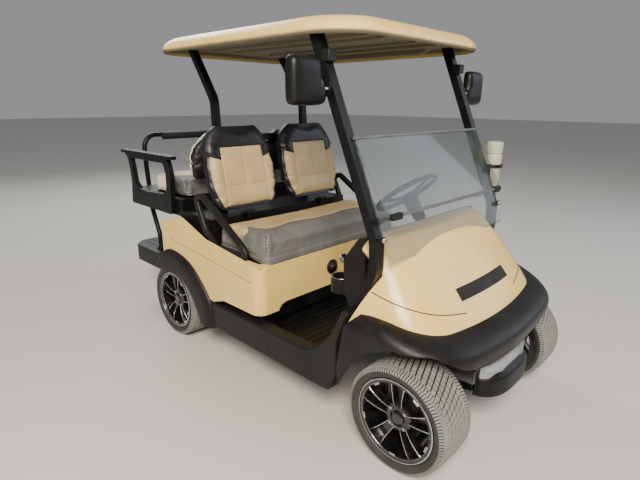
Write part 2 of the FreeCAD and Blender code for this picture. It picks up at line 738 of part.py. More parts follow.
def fender():
    """Broad bumper moulding round the nose and over both front wheels, open below."""
    wall, rear = size("body_wall"), 330
    outside, inside = (Part.makeLoft([plan_section(row[:3], row[3:], inset, end) for row in FENDER],
                                     True, False) for inset, end in ((0, rear), (wall, rear + 10)))
    above = Part.makeBox(1400, 1000, 200, V(-700, ground(-400), FENDER_TOP))
    low = FENDER[0][0] - 10
    right = [V(-x, ground(-400), z) for x, z in reversed(FENDER_FRONT)]
    left = [V(x, ground(-400), z) for x, z in FENDER_FRONT[1:]]
    width = FENDER_FRONT[-1][0]
    front = [V(-width, ground(-400), low), *right, *left, V(width, ground(-400), low)]
    below_front = prism(front, V(0, 400 + FENDER_SIDE[1][0], 0))
    side = [V(-700, ground(station), z) for station, z in FENDER_SIDE]
    side += [V(-700, ground(FENDER_SIDE[-1][0]), low), V(-700, ground(FENDER_SIDE[0][0]), low)]
    below_side = prism(side, V(1400, 0, 0))
    behind = [V(-700, ground(station), z) for station, z in FENDER_REAR]
    behind += [V(-700, ground(rear + 20), FENDER_REAR[-1][1]), V(-700, ground(rear + 20), 640)]
    rear_cut = prism(behind, V(1400, 0, 0))
    shell = outside.cut([inside, cowl_outer(), above, below_front, below_side, rear_cut])
    return node(solid("fender_skin", shell), "front_fender")


flares()
deck(rear_body())
battery()
cowl()
fender()


# Nose: bumper, headlamps, and the panel behind them
# Plan of the bumper: x, station behind the front axle, from the middle to the left end
BUMPER = ((112, -236), (196, -198), (210, -159))


def bumper_ring(grow, low, height, rear=0):
    """Bowed block of the bumper's plan, larger all round by grow and longer to the rear."""
    left = [V(x + grow, ground(station - grow), low) for x, station in BUMPER[:-1]]
    left.append(V(BUMPER[-1][0] + grow, ground(BUMPER[-1][1] + rear), low))
    right = [V(-spot.x, spot.y, low) for spot in left]
    block = prism([*left, *reversed(right)], Z * height)
    return soften(block, 44 + grow, lambda middle, along: abs(along.z) > 0.99
                  and middle.y < ground(-170))


def bumper():
    """Bowed hollow bumper with moulded ribs, open at the back, on two brackets of the rails."""
    skin = soften(bumper_ring(0, 230, 90), 9, lambda middle, along: middle.y < ground(-165)
                  and abs(along.z) < 0.1)
    ribs = [bumper_ring(3, 244 + 17 * number, 7) for number in range(4)]
    shell = solid("bumper_shell", skin.fuse(ribs).cut(bumper_ring(-9, 237, 75, 20)))
    bracket = box("bumper_bracket", "rail_x - 18", "rail_x + 10", "front_axle - rail_nose - 3.5",
                  "front_axle - rail_nose", "250", "rail_high + rail_height")
    foot = box("bumper_foot", "150", "rail_x + 10", "front_axle - rail_nose - 4",
               "front_axle - rail_nose - 3.5", "250", "300")
    half = joined("bumper_mount", [bracket, foot])
    return node(joined("bumper_whole", [shell, half, mirrored("bumper_mount_right", half)]),
                "front_bumper")


def lamps():
    """Bowed lamp strip above the bumper, and a round-cornered lamp on each rear corner."""
    outline = (("-206", "front_axle - 162"), ("-186", "front_axle - 188"), ("-104", "front_axle - 214"),
               ("104", "front_axle - 214"), ("186", "front_axle - 188"), ("206", "front_axle - 162"),
               ("206", "front_axle - rail_nose - 4"), ("-206", "front_axle - rail_nose - 4"))
    strip = slab("lamp_strip", "XY", outline, "320.3", "60")
    rear = size("body_rear")
    lamp = Part.makeBox(90, 16, 60, V(size("body_half") - 160, rear, 560))
    lamp = soften(lamp, 12, lambda middle, along: abs(along.y) > 0.9)
    tail = pair("tail_lamp_both", solid("tail_lamp", lamp))
    return node(together("lamps_all", [strip, tail]), "lamps")


def wheel_axis():
    slope = math.radians(size("column_slope"))
    return V(0, math.cos(slope), math.sin(slope))


def wheel_middle():
    return V(size("wheel_x"), size("wheel_y"), size("wheel_z"))


# Open bins of the dashboard: middle, width
DASH_BINS = ((-235, 200), (20, 190))


def cup_holder(block, front, crest):
    """Ring with a floor on a short neck that is bolted to the face of the dashboard."""
    radius, floor = size("cup_bore") / 2, 8
    middle = V(size("cup_x"), front + size("cup_reach"), crest - 292)
    ring = Part.makeCylinder(radius + 8, size("cup_deep") + floor, middle)
    neck = Part.makeBox(70, size("cup_reach") - 80, size("cup_deep"), middle - V(35, size("cup_reach") - 80, 0))
    bore = Part.makeCylinder(radius, size("cup_deep") + 20, middle + Z * floor)
    face = block.translated(V(0, size("pin_gap"), 0))
    return ring.fuse(neck).cut([bore, face])


def dash():
    """Dashboard behind the windscreen: a deep moulding with two open bins and two cup holders."""
    half = 455
    front, crest = ground(COWL_REAR), COWL[-1][0]
    profile = [V(-half, front, crest - 6), V(-half, front + 38, crest - 14),
               V(-half, front + 116, crest - 120), V(-half, front + 112, crest - 250),
               V(-half, front + 82, crest - 330), V(-half, front, crest - 330)]
    block = prism(profile, V(2 * half, 0, 0))
    block = soften(block, 22, lambda middle, along: middle.y > front + 60 and abs(along.x) > 0.9)
    for bin_middle, bin_width in DASH_BINS:
        block = block.cut(Part.makeBox(bin_width, 110, 84,
                                       V(bin_middle - bin_width / 2, front + 24, crest - 230)))
    inside = Part.makeBox(2 * half - 12, 14, 250, V(-half + 6, front - 0.1, crest - 310))
    slot = size("column_slot")
    column = Part.makeBox(slot, 160, 230, V(size("wheel_x") - slot / 2, front - 10, crest - 340))
    moulding = solid("dash_moulding", block.cut([inside, column]))
    cup = cup_holder(block, front, crest)
    holders = [solid("cup_holder_left", cup), solid("cup_holder_right", cup.mirror(V(), X))]
    return node(together("dash_whole", [moulding, *holders]), "dash")


def steering_column():
    """Column tube from the toe board past the dash to below the steering wheel."""
    axis, middle = wheel_axis(), wheel_middle()
    top = middle - axis * (46 + size("pin_gap"))
    tube = Part.makeCylinder(24, 400, top, axis * -1)
    shroud = Part.makeCone(44, 30, 120, top, axis * -1)
    wide = size("column_slot") - 2 * size("pin_gap")
    clamp = Part.makeBox(wide, 30, 64, V(middle.x - wide / 2, ground(COWL_REAR) + 60, COWL[-1][0] - 250))
    return node(solid("column_tube", tube.fuse([shroud, clamp])), "steering_column")


def steering_wheel():
    """Round grip on three spokes and a padded hub."""
    axis, middle = wheel_axis(), wheel_middle()
    grip = Part.makeTorus(size("wheel_ring"), size("wheel_grip"), middle, axis)
    hub = Part.makeCylinder(40, 34, middle - axis * 46, axis)
    across = V(1, 0, 0)
    up = axis.cross(across)
    pieces = [hub]
    for angle in (-90, 20, 160):
        way = across * math.cos(math.radians(angle)) + up * math.sin(math.radians(angle))
        start, stop = middle - axis * 28, middle + way * size("wheel_ring")
        side = axis.cross(way).normalize() * 14
        lift = axis * 5
        low = [start + side - lift, start - side - lift, start - side + lift, start + side + lift]
        far = side * 0.8
        high = [stop + far - lift, stop - far - lift, stop - far + lift, stop + far + lift]
        wires = [Part.makePolygon([*loop, loop[0]]) for loop in (low, high)]
        pieces.append(Part.makeLoft(wires, True, True))
    return node(solid("steering_ring", grip.fuse(pieces)), "steering_wheel")


def pedals():
    """Brake and accelerator hung from levers under the dash."""
    shapes = []
    for x, width, reach in ((196, 70, 0), (292, 52, 6)):
        base = ground(350)
        pad = prism([V(x - width / 2, base + 62 - reach, 420), V(x - width / 2, base + 26 - reach, 500),
                     V(x - width / 2, base + 36 - reach, 504), V(x - width / 2, base + 72 - reach, 424)],
                    V(width, 0, 0))
        lever = prism([V(x - 7, base + 30 - reach, 470), V(x - 7, base - 14, 563),
                       V(x - 7, base, 563), V(x - 7, base + 44 - reach, 470)], V(14, 0, 0))
        shapes.append(pad.fuse(lever))
    return node(solid("pedal_pair", Part.makeCompound(shapes)), "pedals")


# Roof posts, windscreen and mirrors
def channel(points, wide, deep, corner):
    """A flat bar of width along X and depth across it, bent in the plane of Y and Z."""
    def section(spot, along):
        across = along.cross(X).normalize() * (deep / 2)
        side = X * (wide / 2)
        return polygon([spot + side + across, spot - side + across, spot - side - across,
                        spot + side - across])
    return swept(section, points, corner)


def roof_posts():
    """Front posts from the sill to the roof, rear posts between the seats with a cross bar."""
    x = size("strut_x")
    points = [V(x, ground(station), height) for station, height in STRUT]
    front = channel(points, size("strut_wide"), size("strut_deep"), 120)
    above = Part.makeBox(1300, 2000, 200, V(-650, ground(0), size("roof_lining")))
    front = front.cut(above)
    x = size("rear_strut_x")
    points = [V(x, ground(1690), 1741), V(x, ground(1470), 1425), V(x, ground(1452), 1100),
              V(x, ground(1452), size("deck_high"))]
    rear = channel(points, 40, 34, 110).cut(above)
    bar = Part.makeBox(2 * x - 40, 24, 40, V(20 - x, ground(1440), 1190))
    pads = [Part.makeBox(40, deep, 20, V(spot, ground(station), 1200))
            for station, deep in ((1432.5, 7.5), (1464, 23.9)) for spot in (-280, -140, 100, 240)]
    rear_whole = rear.fuse([rear.mirror(V(), X), bar, *pads])
    return node(solid("posts", Part.makeCompound([front, front.mirror(V(), X), rear_whole])),
                "roof_posts")


# Roof, one row per height: height, how far the edge lies inside the widest outline
ROOF = ((0, 6), (16, 0), (44, 14), (70, 60), (88, 150))


def roof_section(rise, inset, corner):
    half = size("roof_half") - inset
    front, rear = size("roof_front") + inset, size("roof_rear") - inset
    height = size("roof_rim") + rise * (size("roof_crown") - size("roof_rim")) / ROOF[-1][0]
    reach = max(corner - inset * 0.3, 20)
    slack = reach * (1 - math.sqrt(0.5))
    spots = [V(half, rear - reach, height), V(half - slack, rear - slack, height),
             V(half - reach, rear, height), V(-half + reach, rear, height),
             V(-half + slack, rear - slack, height), V(-half, rear - reach, height),
             V(-half, front + reach, height), V(-half + slack, front + slack, height),
             V(-half + reach, front, height), V(half - reach, front, height),
             V(half - slack, front + slack, height), V(half, front + reach, height)]
    edges = []
    for i in range(0, 12, 3):
        edges.append(arc(spots[i], spots[i + 1], spots[i + 2]))
        edges.append(line(spots[i + 2], spots[(i + 3) % 12]))
    return closed(edges)


# Ribs below the lining, those of the left half: x, width, ends inside the front and rear edges,
# depth. The last one is the rail that a hand holds.
ROOF_RIBS = ((120, 34, 130, 210, 12), (262, 34, 90, 170, 15), (478, 46, 300, 220, 22))


def roof_rib(x, wide, front, rear, deep):
    """Long moulded rib with sloping ends, hanging from the lining."""
    top, slope = size("roof_lining") + 1, 3 * deep
    return prism([V(x - wide / 2, front, top), V(x - wide / 2, front + slope, top - deep),
                  V(x - wide / 2, rear - slope, top - deep), V(x - wide / 2, rear, top)], X * wide)


def roof():
    """Domed shell with round corners and moulded ribs below."""
    wall = size("roof_wall")
    outside, inner = (Part.makeLoft([roof_section(rise, inset + depth, size("roof_corner") - depth)
                                     for rise, inset in ROOF], True, False) for depth in (0, wall))
    inner.translate(V(0, 0, -wall))
    low = size("roof_lining")
    lining = Part.makeBox(1300, 1700, wall, V(-650, size("roof_front") - 50, low))
    shell = outside.cut(inner.cut(lining))
    front, rear = size("roof_front"), size("roof_rear")
    ribs = [roof_rib(x, wide, front + ahead, rear - behind, deep)
            for x, wide, ahead, behind, deep in ROOF_RIBS]
    ribs += [rib.mirror(V(), X) for rib in ribs]
    return node(solid("roof_shell", shell.fuse(ribs)), "roof")


def strut_line(height, forward):
    """Point of the middle line of the struts at a height, moved forward square to them."""
    (top_y, top_z), (knee_y, knee_z) = STRUT[0], STRUT[1]
    slope = (top_y - knee_y) / (top_z - knee_z)
    ahead = forward * math.hypot(1, slope)
    return V(0, ground(knee_y + (height - knee_z) * slope - ahead), height)


def clear_sheet(low, high, half, radius, at_top):
    """Flat sheet between two points of the middle line, two of its corners rounded."""
    normal = X.cross(high - low).normalize()
    side = X * half
    sheet_block = prism([low - side, low + side, high + side, high - side], normal * size("pane"))
    round_z = high.z if at_top else low.z
    return soften(sheet_block, radius, lambda middle, along: abs(along.x) < 0.1
                  and abs(along.dot(normal)) > 0.9 and abs(middle.z - round_z) < size("pane"))


def windscreen():
    """Two clear sheets: one fixed below, one folded down in front of it from the hinge line."""
    pane, half = size("pane"), size("strut_x") - 8
    near = size("strut_deep") / 2 + size("pin_gap")
    fixed = clear_sheet(strut_line(818, near), strut_line(1284, near), half, 30, True)
    fixed = fixed.cut(cowl_solid(-0.3, COWL_REAR + 60, -0.3))
    biggest = max(fixed.Solids, key=lambda piece: piece.Volume)
    hinge = strut_line(1284, near + pane + size("pin_gap"))
    folded = clear_sheet(V(0, ground(140), 1000), hinge, half, 40, False)
    return node(solid("panes", Part.makeCompound([biggest, folded])), "windscreen")


def mirror_pair():
    """Door mirror shell on an arm clamped round each front strut."""
    x = size("strut_x")
    height = 1467
    spot = strut_line(height, 0)
    side = x + size("strut_wide") / 2
    clamp = Part.makeBox(12, 34, 56, V(side, spot.y - 17, height - 28))
    arm = Part.makeCylinder(9, 40, V(side + 6, spot.y, height), X)
    shell = Part.makeBox(187, 56, 180, V(side + 18, spot.y - 30, height - 62))
    shell = soften(shell, 26, lambda middle, along: abs(along.y) > 0.9)
    return node(pair("mirror_both", solid("mirror_left", clamp.fuse([arm, shell]))), "mirrors")


# Seats
def soft_block(name, outline, x0, x1, radius):
    """Padded piece: a side outline between two widths, its long edges rounded."""
    points = [V(x0, y, z) for y, z in outline]
    block = prism(points, V(x1 - x0, 0, 0))
    if radius:
        block = soften(block, radius, lambda middle, along: abs(along.x) < 0.9)
    return solid(name, block)


def front_seat():
    half, gap = size("body_half") - size("cushion_side"), size("seat_gap")
    front, back = size("cushion_front"), size("deck_step") - 22
    low = size("deck_low") + 14
    outline = [(front, low + gap), (front, size("cushion_top") - 34), (front + 30, size("cushion_top")),
               (back - 12, size("cushion_top") - 14), (back, size("cushion_top") - 40), (back, low + gap)]
    node(soft_block("cushion", outline, -half, half, 20), "front_cushion")
    hinge_z = size("deck_high") + 10
    board = Part.makeBox(2 * half - 40, back - front - 26, 13.5,
                         V(20 - half, front + 22, size("deck_low") + 0.5))
    pieces = []
    for x in (-300, 300):
        riser = Part.makeBox(36, 6, hinge_z - low + 10, V(x - 18, back + 2, size("deck_low") + 2))
        foot = Part.makeBox(36, 16, 12, V(x - 18, back - 6, size("deck_low") + 2))
        eye = Part.makeCylinder(11, 36, V(x - 18, back + 8, hinge_z), X)
        pieces += [riser, foot, eye]
    pan = board.fuse(pieces)
    bores = [Part.makeCylinder(5.3, 40, V(x - 20, back + 8, hinge_z), X) for x in (-300, 300)]
    return node(solid("pan", pan.cut(bores)), "seat_pan")


# Shape of a seat back, one row per height: share of the height, how far the sides lie inside,
# share of the thickness
BACK_SHAPE = ((0, 66, 0.5), (0.08, 34, 0.82), (0.26, 6, 1), (0.5, 0, 1), (0.72, 20, 0.96),
              (0.86, 60, 0.86), (0.95, 94, 0.68), (1, 122, 0.42))


def seat_back(x0, x1, low, high, station, lean, thick):
    """Padded back with cut corners, narrower at foot and head, leaning by lean."""
    def loop(z, inset, y, depth):
        cut_x, cut_y = abs(depth) * 0.26, depth * 0.26
        spots = ((x0 + inset + cut_x, y), (x1 - inset - cut_x, y), (x1 - inset, y + cut_y),
                 (x1 - inset, y + depth - cut_y), (x1 - inset - cut_x, y + depth),
                 (x0 + inset + cut_x, y + depth), (x0 + inset, y + depth - cut_y),
                 (x0 + inset, y + cut_y))
        return polygon([V(x, spot_y, z) for x, spot_y in spots])
    loops = [loop(low + (high - low) * share, inset, station + lean * share, thick * depth)
             for share, inset, depth in BACK_SHAPE]
    return Part.makeLoft(loops, True, True)


def seat_backs():
    front = seat_back(22, 518, 832, 1298, ground(1258), 112, 92)
    node(pair("front_backs", solid("front_back", front)), "front_seat_backs")
    rear = seat_back(22, 492, 966, 1264, ground(1606), -50, -86)
    return node(pair("rear_backs", solid("rear_back", rear)), "rear_seat_backs")


def arm_rails():
    """Closed loop of tube beside the front cushion, standing on the deck."""
    x, r = size("body_half") - size("body_wall") - size("tube") - 2, size("tube")
    low = size("deck_low") + r + 0.2
    points = [V(x, ground(1060), low), V(x, ground(858), low + 1), V(x, ground(1322), 936),
              V(x, ground(1388), 912), V(x, ground(1300), 742), V(x, ground(1190), low),
              V(x, ground(1060), low)]
    bar = pipe(points, r, 34)
    foot = Part.makeBox(26, 60, low - size("deck_low"), V(x - 13, ground(1035), size("deck_low")))
    return node(pair("arm_rail_both", solid("arm_rail", bar.fuse(foot))), "arm_rails")


def rear_seat():
    """Moulded base of the rear seat on four posts, its cushion and the two armrests."""
    front, rear = size("seat_base_front"), size("seat_base_rear")
    low, top = size("seat_base_low"), size("seat_base_top")
    half = size("armrest_x") - 0.9 * size("armrest_thick")
    outside = Part.makeBox(2 * half, rear - front, top - low, V(-half, front, low))
    outside = soften(outside, 60, lambda middle, along: abs(along.z) > 0.9 and middle.y > rear - 1)
    hollow = Part.makeBox(2 * half - 16, rear - front - 16, top - low, V(8 - half, front + 8, low - 8))
    shell = outside.cut(soften(hollow, 52, lambda middle, along: abs(along.z) > 0.9
                               and middle.y > rear - 9))
    rail_top = size("rail_high") + size("rail_height")
    posts = [Part.makeBox(30, 30, top - 8 - rail_top, V(hand * 222 - 15, y, rail_top))
             for hand in (-1, 1) for y in (front + 40, ground(1860))]
    node(solid("rear_base", shell.fuse(posts)), "rear_seat_base")
    gap = size("seat_gap")
    start, stop = front + 20, front + 20 + size("rear_cushion_deep")
    outline = [(start, top + gap), (start, 930), (start + 40, 952), (stop - 50, 968),
               (stop, 930), (stop, top + gap)]
    wide = size("rear_cushion_half")
    node(soft_block("rear_pad", outline, -wide, wide, 20), "rear_cushion")
    return rear_armrests(half + size("seat_gap"))


# Side frame of a rear armrest, seen from the side: y, height; its outline, then its opening
ARM_FRAME = ((546, 764), (538, 900), (530, 1000), (546, 1056), (566, 1093), (1118, 1093), (1074, 1068),
             (1052, 1000), (1043, 900), (1066, 764))
ARM_OPENING = ((606, 1064), (584, 1000), (588, 912), (628, 878), (825, 866), (944, 872), (998, 912),
               (1012, 1000), (1030, 1064))


def rear_armrests(inner):
    """Moulded side frame with an open middle, beside the seat base, and a flat pad on top."""
    thick, pad_top = size("armrest_thick"), size("armrest_top")
    frame_side = prism([V(inner, y, z) for y, z in ARM_FRAME], X * thick)
    frame_side = frame_side.cut(prism([V(inner - 1, y, z) for y, z in ARM_OPENING], X * (thick + 2)))
    frame_side = soften(frame_side, 16, lambda middle, along: abs(along.x) > 0.9 and middle.z < 1080)
    pad = Part.makeBox(56, 650, 20, V(inner + thick / 2 - 28, ground(1627), pad_top - 20))
    pad = soften(pad, 24, lambda middle, along: abs(along.z) > 0.9)
    return node(pair("rear_arm_both", solid("rear_arm", frame_side.fuse(pad))), "rear_armrests")


def foot_plate():
    """Folding step behind the rear seat, shown down: a ribbed tray open below."""
    half, front, rear, top = (size(word) for word in ("plate_half", "plate_front", "plate_rear",
                                                      "plate_top"))
    chamfer, wall, drop = 72, 6, 118

    def outline(inset, z):
        return [V(-half + inset, front, z), V(half - inset, front, z),
                V(half - inset, rear - chamfer - inset * 0.4, z),
                V(half - chamfer - inset * 0.4, rear - inset, z),
                V(-half + chamfer + inset * 0.4, rear - inset, z),
                V(-half + inset, rear - chamfer - inset * 0.4, z)]

    tray = prism(outline(0, top - drop), V(0, 0, drop))
    core = prism(outline(wall, top - drop), V(0, 0, drop - wall)).translated(V(0, -wall, 0))
    tray = tray.cut(core)
    rail_top = size("rail_high") + size("rail_height")
    ribs = [Part.makeBox(2 * half - 2 * wall, 8, top - wall - rail_top,
                         V(-half + wall, front + 40 + step * 130, rail_top)) for step in range(3)]
    return node(solid("plate", tray.fuse(ribs)), "foot_plate")


def grab_bar():
    """Hoop of tube from the foot plate up over the rear seat."""
    x, top, plate_top = size("hoop_x"), size("hoop_top"), size("plate_top")
    side = ((2188, plate_top), (2188, 500), (2270, 690), (2298, 980), (2300, top))
    left = [V(x, ground(station), height) for station, height in side]
    right = [V(-x, ground(station), height) for station, height in reversed(side)]
    hoop = pipe(left + right, size("tube"), 88)
    feet = [Part.makeCylinder(30, 8, V(hand * x, ground(2188), plate_top)) for hand in (-1, 1)]
    return node(solid("hoop", hoop.fuse(feet)), "grab_bar")


def sand_bottle():
    """Bottle of turf sand in its ring holder beside the left strut."""
    side = size("strut_x") + size("strut_wide") / 2
    x, y = side + 56, strut_line(1015, 0).y
    bottle = Part.makeCylinder(40, 250, V(x, y, 930))
    bottle = bottle.fuse(Part.makeCone(40, 24, 40, V(x, y, 1180)))
    bottle = bottle.fuse(Part.makeCylinder(26, 24, V(x, y, 1220)))
    ring = Part.makeCylinder(46, 30, V(x, y, 1000)).cut(Part.makeCylinder(40.3, 30, V(x, y, 1000)))
    seat = Part.makeCylinder(46, 8, V(x, y, 921.7))
    clamp = Part.makeBox(14, 30, 30, V(side, y - 15, 1000))
    stay = Part.makeBox(4, 30, 90, V(x - 46, y - 15, 922))
    holder = ring.fuse([seat, clamp, stay])
    return node(solid("bottle_held", Part.makeCompound([bottle, holder])), "sand_bottle")


bumper()
lamps()
dash()
steering_column()
steering_wheel()
pedals()
roof_posts()
roof()
windscreen()
mirror_pair()
front_seat()
seat_backs()
arm_rails()
rear_seat()
foot_plate()
grab_bar()
sand_bottle()


def write_parts():
    """Checks every object, then writes each sub-part to its own file."""
    doc.recompute()
    for thing in doc.Objects:
        if "Invalid" in thing.State or "Error" in thing.State:
            raise RuntimeError("%s did not build: %s" % (thing.Label, thing.State))
    os.makedirs("parts", exist_ok=True)
    for thing in NODES:
        if thing.Shape.isNull() or not thing.Shape.isValid() or not thing.Shape.Solids:
            raise RuntimeError("no valid shape: " + thing.Label)
    for thing in NODES:
        thing.Shape.exportStep("parts/%s.step" % thing.Label)


write_parts()
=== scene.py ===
# %% Frame
import math
import bmesh
import bpy
from mathutils import Matrix, Vector
from mathutils.bvhtree import BVHTree


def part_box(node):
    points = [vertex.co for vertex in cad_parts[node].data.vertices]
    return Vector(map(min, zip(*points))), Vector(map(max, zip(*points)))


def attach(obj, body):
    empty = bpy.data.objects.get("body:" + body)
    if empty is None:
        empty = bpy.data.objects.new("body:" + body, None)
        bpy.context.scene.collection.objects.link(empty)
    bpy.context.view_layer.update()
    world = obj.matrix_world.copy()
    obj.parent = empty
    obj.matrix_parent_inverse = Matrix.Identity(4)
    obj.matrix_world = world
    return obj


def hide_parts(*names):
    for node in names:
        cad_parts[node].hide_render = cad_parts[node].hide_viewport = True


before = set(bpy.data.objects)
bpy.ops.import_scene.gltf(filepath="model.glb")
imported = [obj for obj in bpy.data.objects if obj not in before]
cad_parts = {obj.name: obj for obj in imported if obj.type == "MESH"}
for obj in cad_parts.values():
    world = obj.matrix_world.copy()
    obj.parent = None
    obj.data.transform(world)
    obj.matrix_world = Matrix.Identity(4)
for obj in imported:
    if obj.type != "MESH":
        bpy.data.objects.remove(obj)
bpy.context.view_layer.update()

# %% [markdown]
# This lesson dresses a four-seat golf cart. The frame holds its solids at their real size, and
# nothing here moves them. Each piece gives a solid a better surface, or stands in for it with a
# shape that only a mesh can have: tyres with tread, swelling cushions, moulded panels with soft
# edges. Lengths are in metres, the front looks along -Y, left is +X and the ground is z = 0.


def beside(items, i, closed=False):
    """The items before and after one of them; at an open end, the item itself stands in."""
    if closed:
        return items[i - 1], items[(i + 1) % len(items)]
    return items[max(i - 1, 0)], items[min(i + 1, len(items) - 1)]


def middle(node):
    return Vector([(a + b) / 2 for a, b in zip(*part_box(node))])


def clamp(x):
    return max(0.0, min(1.0, x))


def even(count):
    """That many shares from 0 to 1."""
    return [i / (count - 1) for i in range(count)]


front_axle = middle("tyre_front_left")
body_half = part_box("rear_body")[1][0]


def station(distance):
    """y of a place that many metres behind the front axle."""
    return front_axle.y + distance


print("front axle", front_axle, "rear axle", middle("tyre_rear_left"))

# %% [markdown]
# Most moulded panels here are grids: rows of points, each row one section of the panel. Round
# things are a profile that turns about an axis, boxes and plates an outline drawn along one.
# baked() turns modifiers into plain mesh.

# %% Helpers for meshes
def link(obj):
    bpy.context.scene.collection.objects.link(obj)
    return obj


def smoothed(obj, smooth=True):
    obj.data.polygons.foreach_set("use_smooth", [smooth] * len(obj.data.polygons))
    return obj


def raw_object(name, points, faces=()):
    mesh = bpy.data.meshes.new(name)
    mesh.from_pydata([tuple(p) for p in points], [], faces)
    return link(bpy.data.objects.new(name, mesh))


def mesh_object(name, points, faces, smooth=True):
    """An object whose double points are merged and whose faces all look outwards."""
    obj = raw_object(name, points, faces)
    tool = bmesh.new()
    tool.from_mesh(obj.data)
    bmesh.ops.remove_doubles(tool, verts=tool.verts, dist=1e-6)
    bmesh.ops.recalc_face_normals(tool, faces=tool.faces)
    tool.to_mesh(obj.data)
    tool.free()
    return smoothed(obj, smooth)


def grid(rows, around=False, along=False, capped=False):
    """Points and faces of rows of equal length; around closes each row, along joins the last row
    to the first, capped closes both ends."""
    wide = len(rows[0])
    points = [p for row in rows for p in row]
    faces = []
    for i in range(len(rows) if along else len(rows) - 1):
        for j in range(wide if around else wide - 1):
            k, n = (i + 1) % len(rows), (j + 1) % wide
            faces.append((i * wide + j, i * wide + n, k * wide + n, k * wide + j))
    if capped:
        faces += [tuple(range(wide)), tuple(range(len(points) - wide, len(points)))]
    return points, faces


def modify(obj, kind, **settings):
    modifier = obj.modifiers.new(kind.title(), kind)
    for name, value in settings.items():
        setattr(modifier, name, value)
    return modifier


def baked(obj):
    """Turns the modifiers of an object into plain mesh."""
    mesh = bpy.data.meshes.new_from_object(obj.evaluated_get(bpy.context.evaluated_depsgraph_get()))
    if obj.type != "MESH":
        name = obj.name
        bpy.data.objects.remove(obj)
        return link(bpy.data.objects.new(name, mesh))
    obj.modifiers.clear()
    obj.data = mesh
    return obj


def split(obj, degrees):
    """Shades an object smooth, but for the edges that turn more than that."""
    modify(smoothed(obj), "EDGE_SPLIT", split_angle=math.radians(degrees))
    return baked(obj)


def joined(name, objects):
    """One object from several, each keeping its own materials."""
    target = objects[0]
    with bpy.context.temp_override(active_object=target, object=target, selected_objects=objects,
                                   selected_editable_objects=objects):
        bpy.ops.object.join()
    target.name = target.data.name = name
    return target


def mirrored(obj, name):
    """The same shape on the other side of the cart."""
    other = link(bpy.data.objects.new(name, obj.data.copy()))
    other.data.transform(Matrix.Diagonal((-1, 1, 1, 1)))
    other.data.flip_normals()
    return other


def both_sides(obj):
    return joined(obj.name, [obj, mirrored(obj, obj.name + "_other")])


def point_on(axis, along, u, v):
    """A point from its place along an axis and its two other coordinates."""
    point = [u, v]
    point.insert("XYZ".index(axis), along)
    return Vector(point)


def turned(name, profile, centre, steps=96, axis="X"):
    """Turns a profile of (along, out) about an axis through centre."""
    rows = []
    for step in range(steps):
        angle = 2 * math.pi * step / steps
        u, v = math.cos(angle), math.sin(angle)
        if axis == "X":
            u, v = v, u
        rows.append([centre + point_on(axis, a, r * u, r * v) for a, r in profile])
    return mesh_object(name, *grid(rows, along=True))


def plate(name, outline, start, stop, axis):
    """Draws an outline of two coordinates along an axis from start to stop."""
    rows = [[point_on(axis, w, u, v) for u, v in outline] for w in (start, stop)]
    return mesh_object(name, *grid(rows, around=True, capped=True), smooth=False)


def block(name, low, high, bevel=0.002, segments=3):
    """A box whose edges are rounded as a mould or a press leaves them."""
    (x, y, z), (far_x, far_y, top) = low, high
    box = plate(name, ((x, y), (far_x, y), (far_x, far_y), (x, far_y)), z, top, "Z")
    modify(box, "BEVEL", width=bevel, segments=segments, limit_method="ANGLE",
           angle_limit=math.radians(32), harden_normals=True)
    return baked(smoothed(box))


def bar(name, start, stop, radius, sides=6):
    """A round bar between two points."""
    curve = bpy.data.curves.new(name, "CURVE")
    curve.dimensions, curve.use_fill_caps = "3D", True
    curve.bevel_depth, curve.bevel_resolution = radius, sides
    spline = curve.splines.new("POLY")
    spline.points.add(1)
    for spot, p in zip(spline.points, (start, stop)):
        spot.co = (*p, 1)
    spline.use_smooth = True
    return baked(link(bpy.data.objects.new(name, curve)))


def spread(table, shares):
    """Rows between the rows of a table: each column follows a smooth curve through its numbers."""
    rows = []
    for share in shares:
        spot = share * (len(table) - 1)
        i = min(int(spot), len(table) - 2)
        local = spot - i
        square, cube = local ** 2, local ** 3
        before, after = max(i - 1, 0), min(i + 2, len(table) - 1)
        row = []
        for a, b, c, d in zip(table[before], table[i], table[i + 1], table[after]):
            rise_b, rise_c = (c - a) / (i + 1 - before), (d - b) / (after - i)
            row.append((2 * cube - 3 * square + 1) * b + (cube - 2 * square + local) * rise_b
                       + (3 * square - 2 * cube) * c + (cube - square) * rise_c)
        rows.append(row)
    return rows


# %% [markdown]
# The camera repeats the photograph's viewing angle. Its place was worked out from the wheels,
# the roof and the panel joints: ahead of the right front corner, a little above eye height. The
# lens is written as its focal length in pixels of a picture 640 wide, as it was measured.

# %% Camera
PICTURE_WIDE = 640
FOCAL_PIXELS = 471.5
camera_spot = Vector((-1.9063, -2.0027, 1.4212))
camera_turn, camera_dip, camera_roll = -0.802, 0.286, 0.007

camera_data = bpy.data.cameras.new("view")
camera_data.sensor_width = 36
camera_data.lens = FOCAL_PIXELS / PICTURE_WIDE * camera_data.sensor_width
camera = link(bpy.data.objects.new("view", camera_data))
camera.matrix_world = (Matrix.Translation(camera_spot) @ Matrix.Rotation(camera_turn, 4, "Z")
                       @ Matrix.Rotation(math.pi / 2 - camera_dip, 4, "X")
                       @ Matrix.Rotation(camera_roll, 4, "Z"))
bpy.context.scene.camera = camera
print("camera at", camera_spot, "lens", round(camera_data.lens, 2), "mm")

# %% [markdown]
# A material starts from what the real surface is. The helpers turn a colour as a picture shows
# it into the linear numbers of a shader, and add nodes with their settings and links. Patterns
# read Object coordinates, which are metres here, so a noise scale is one over a grain's size.

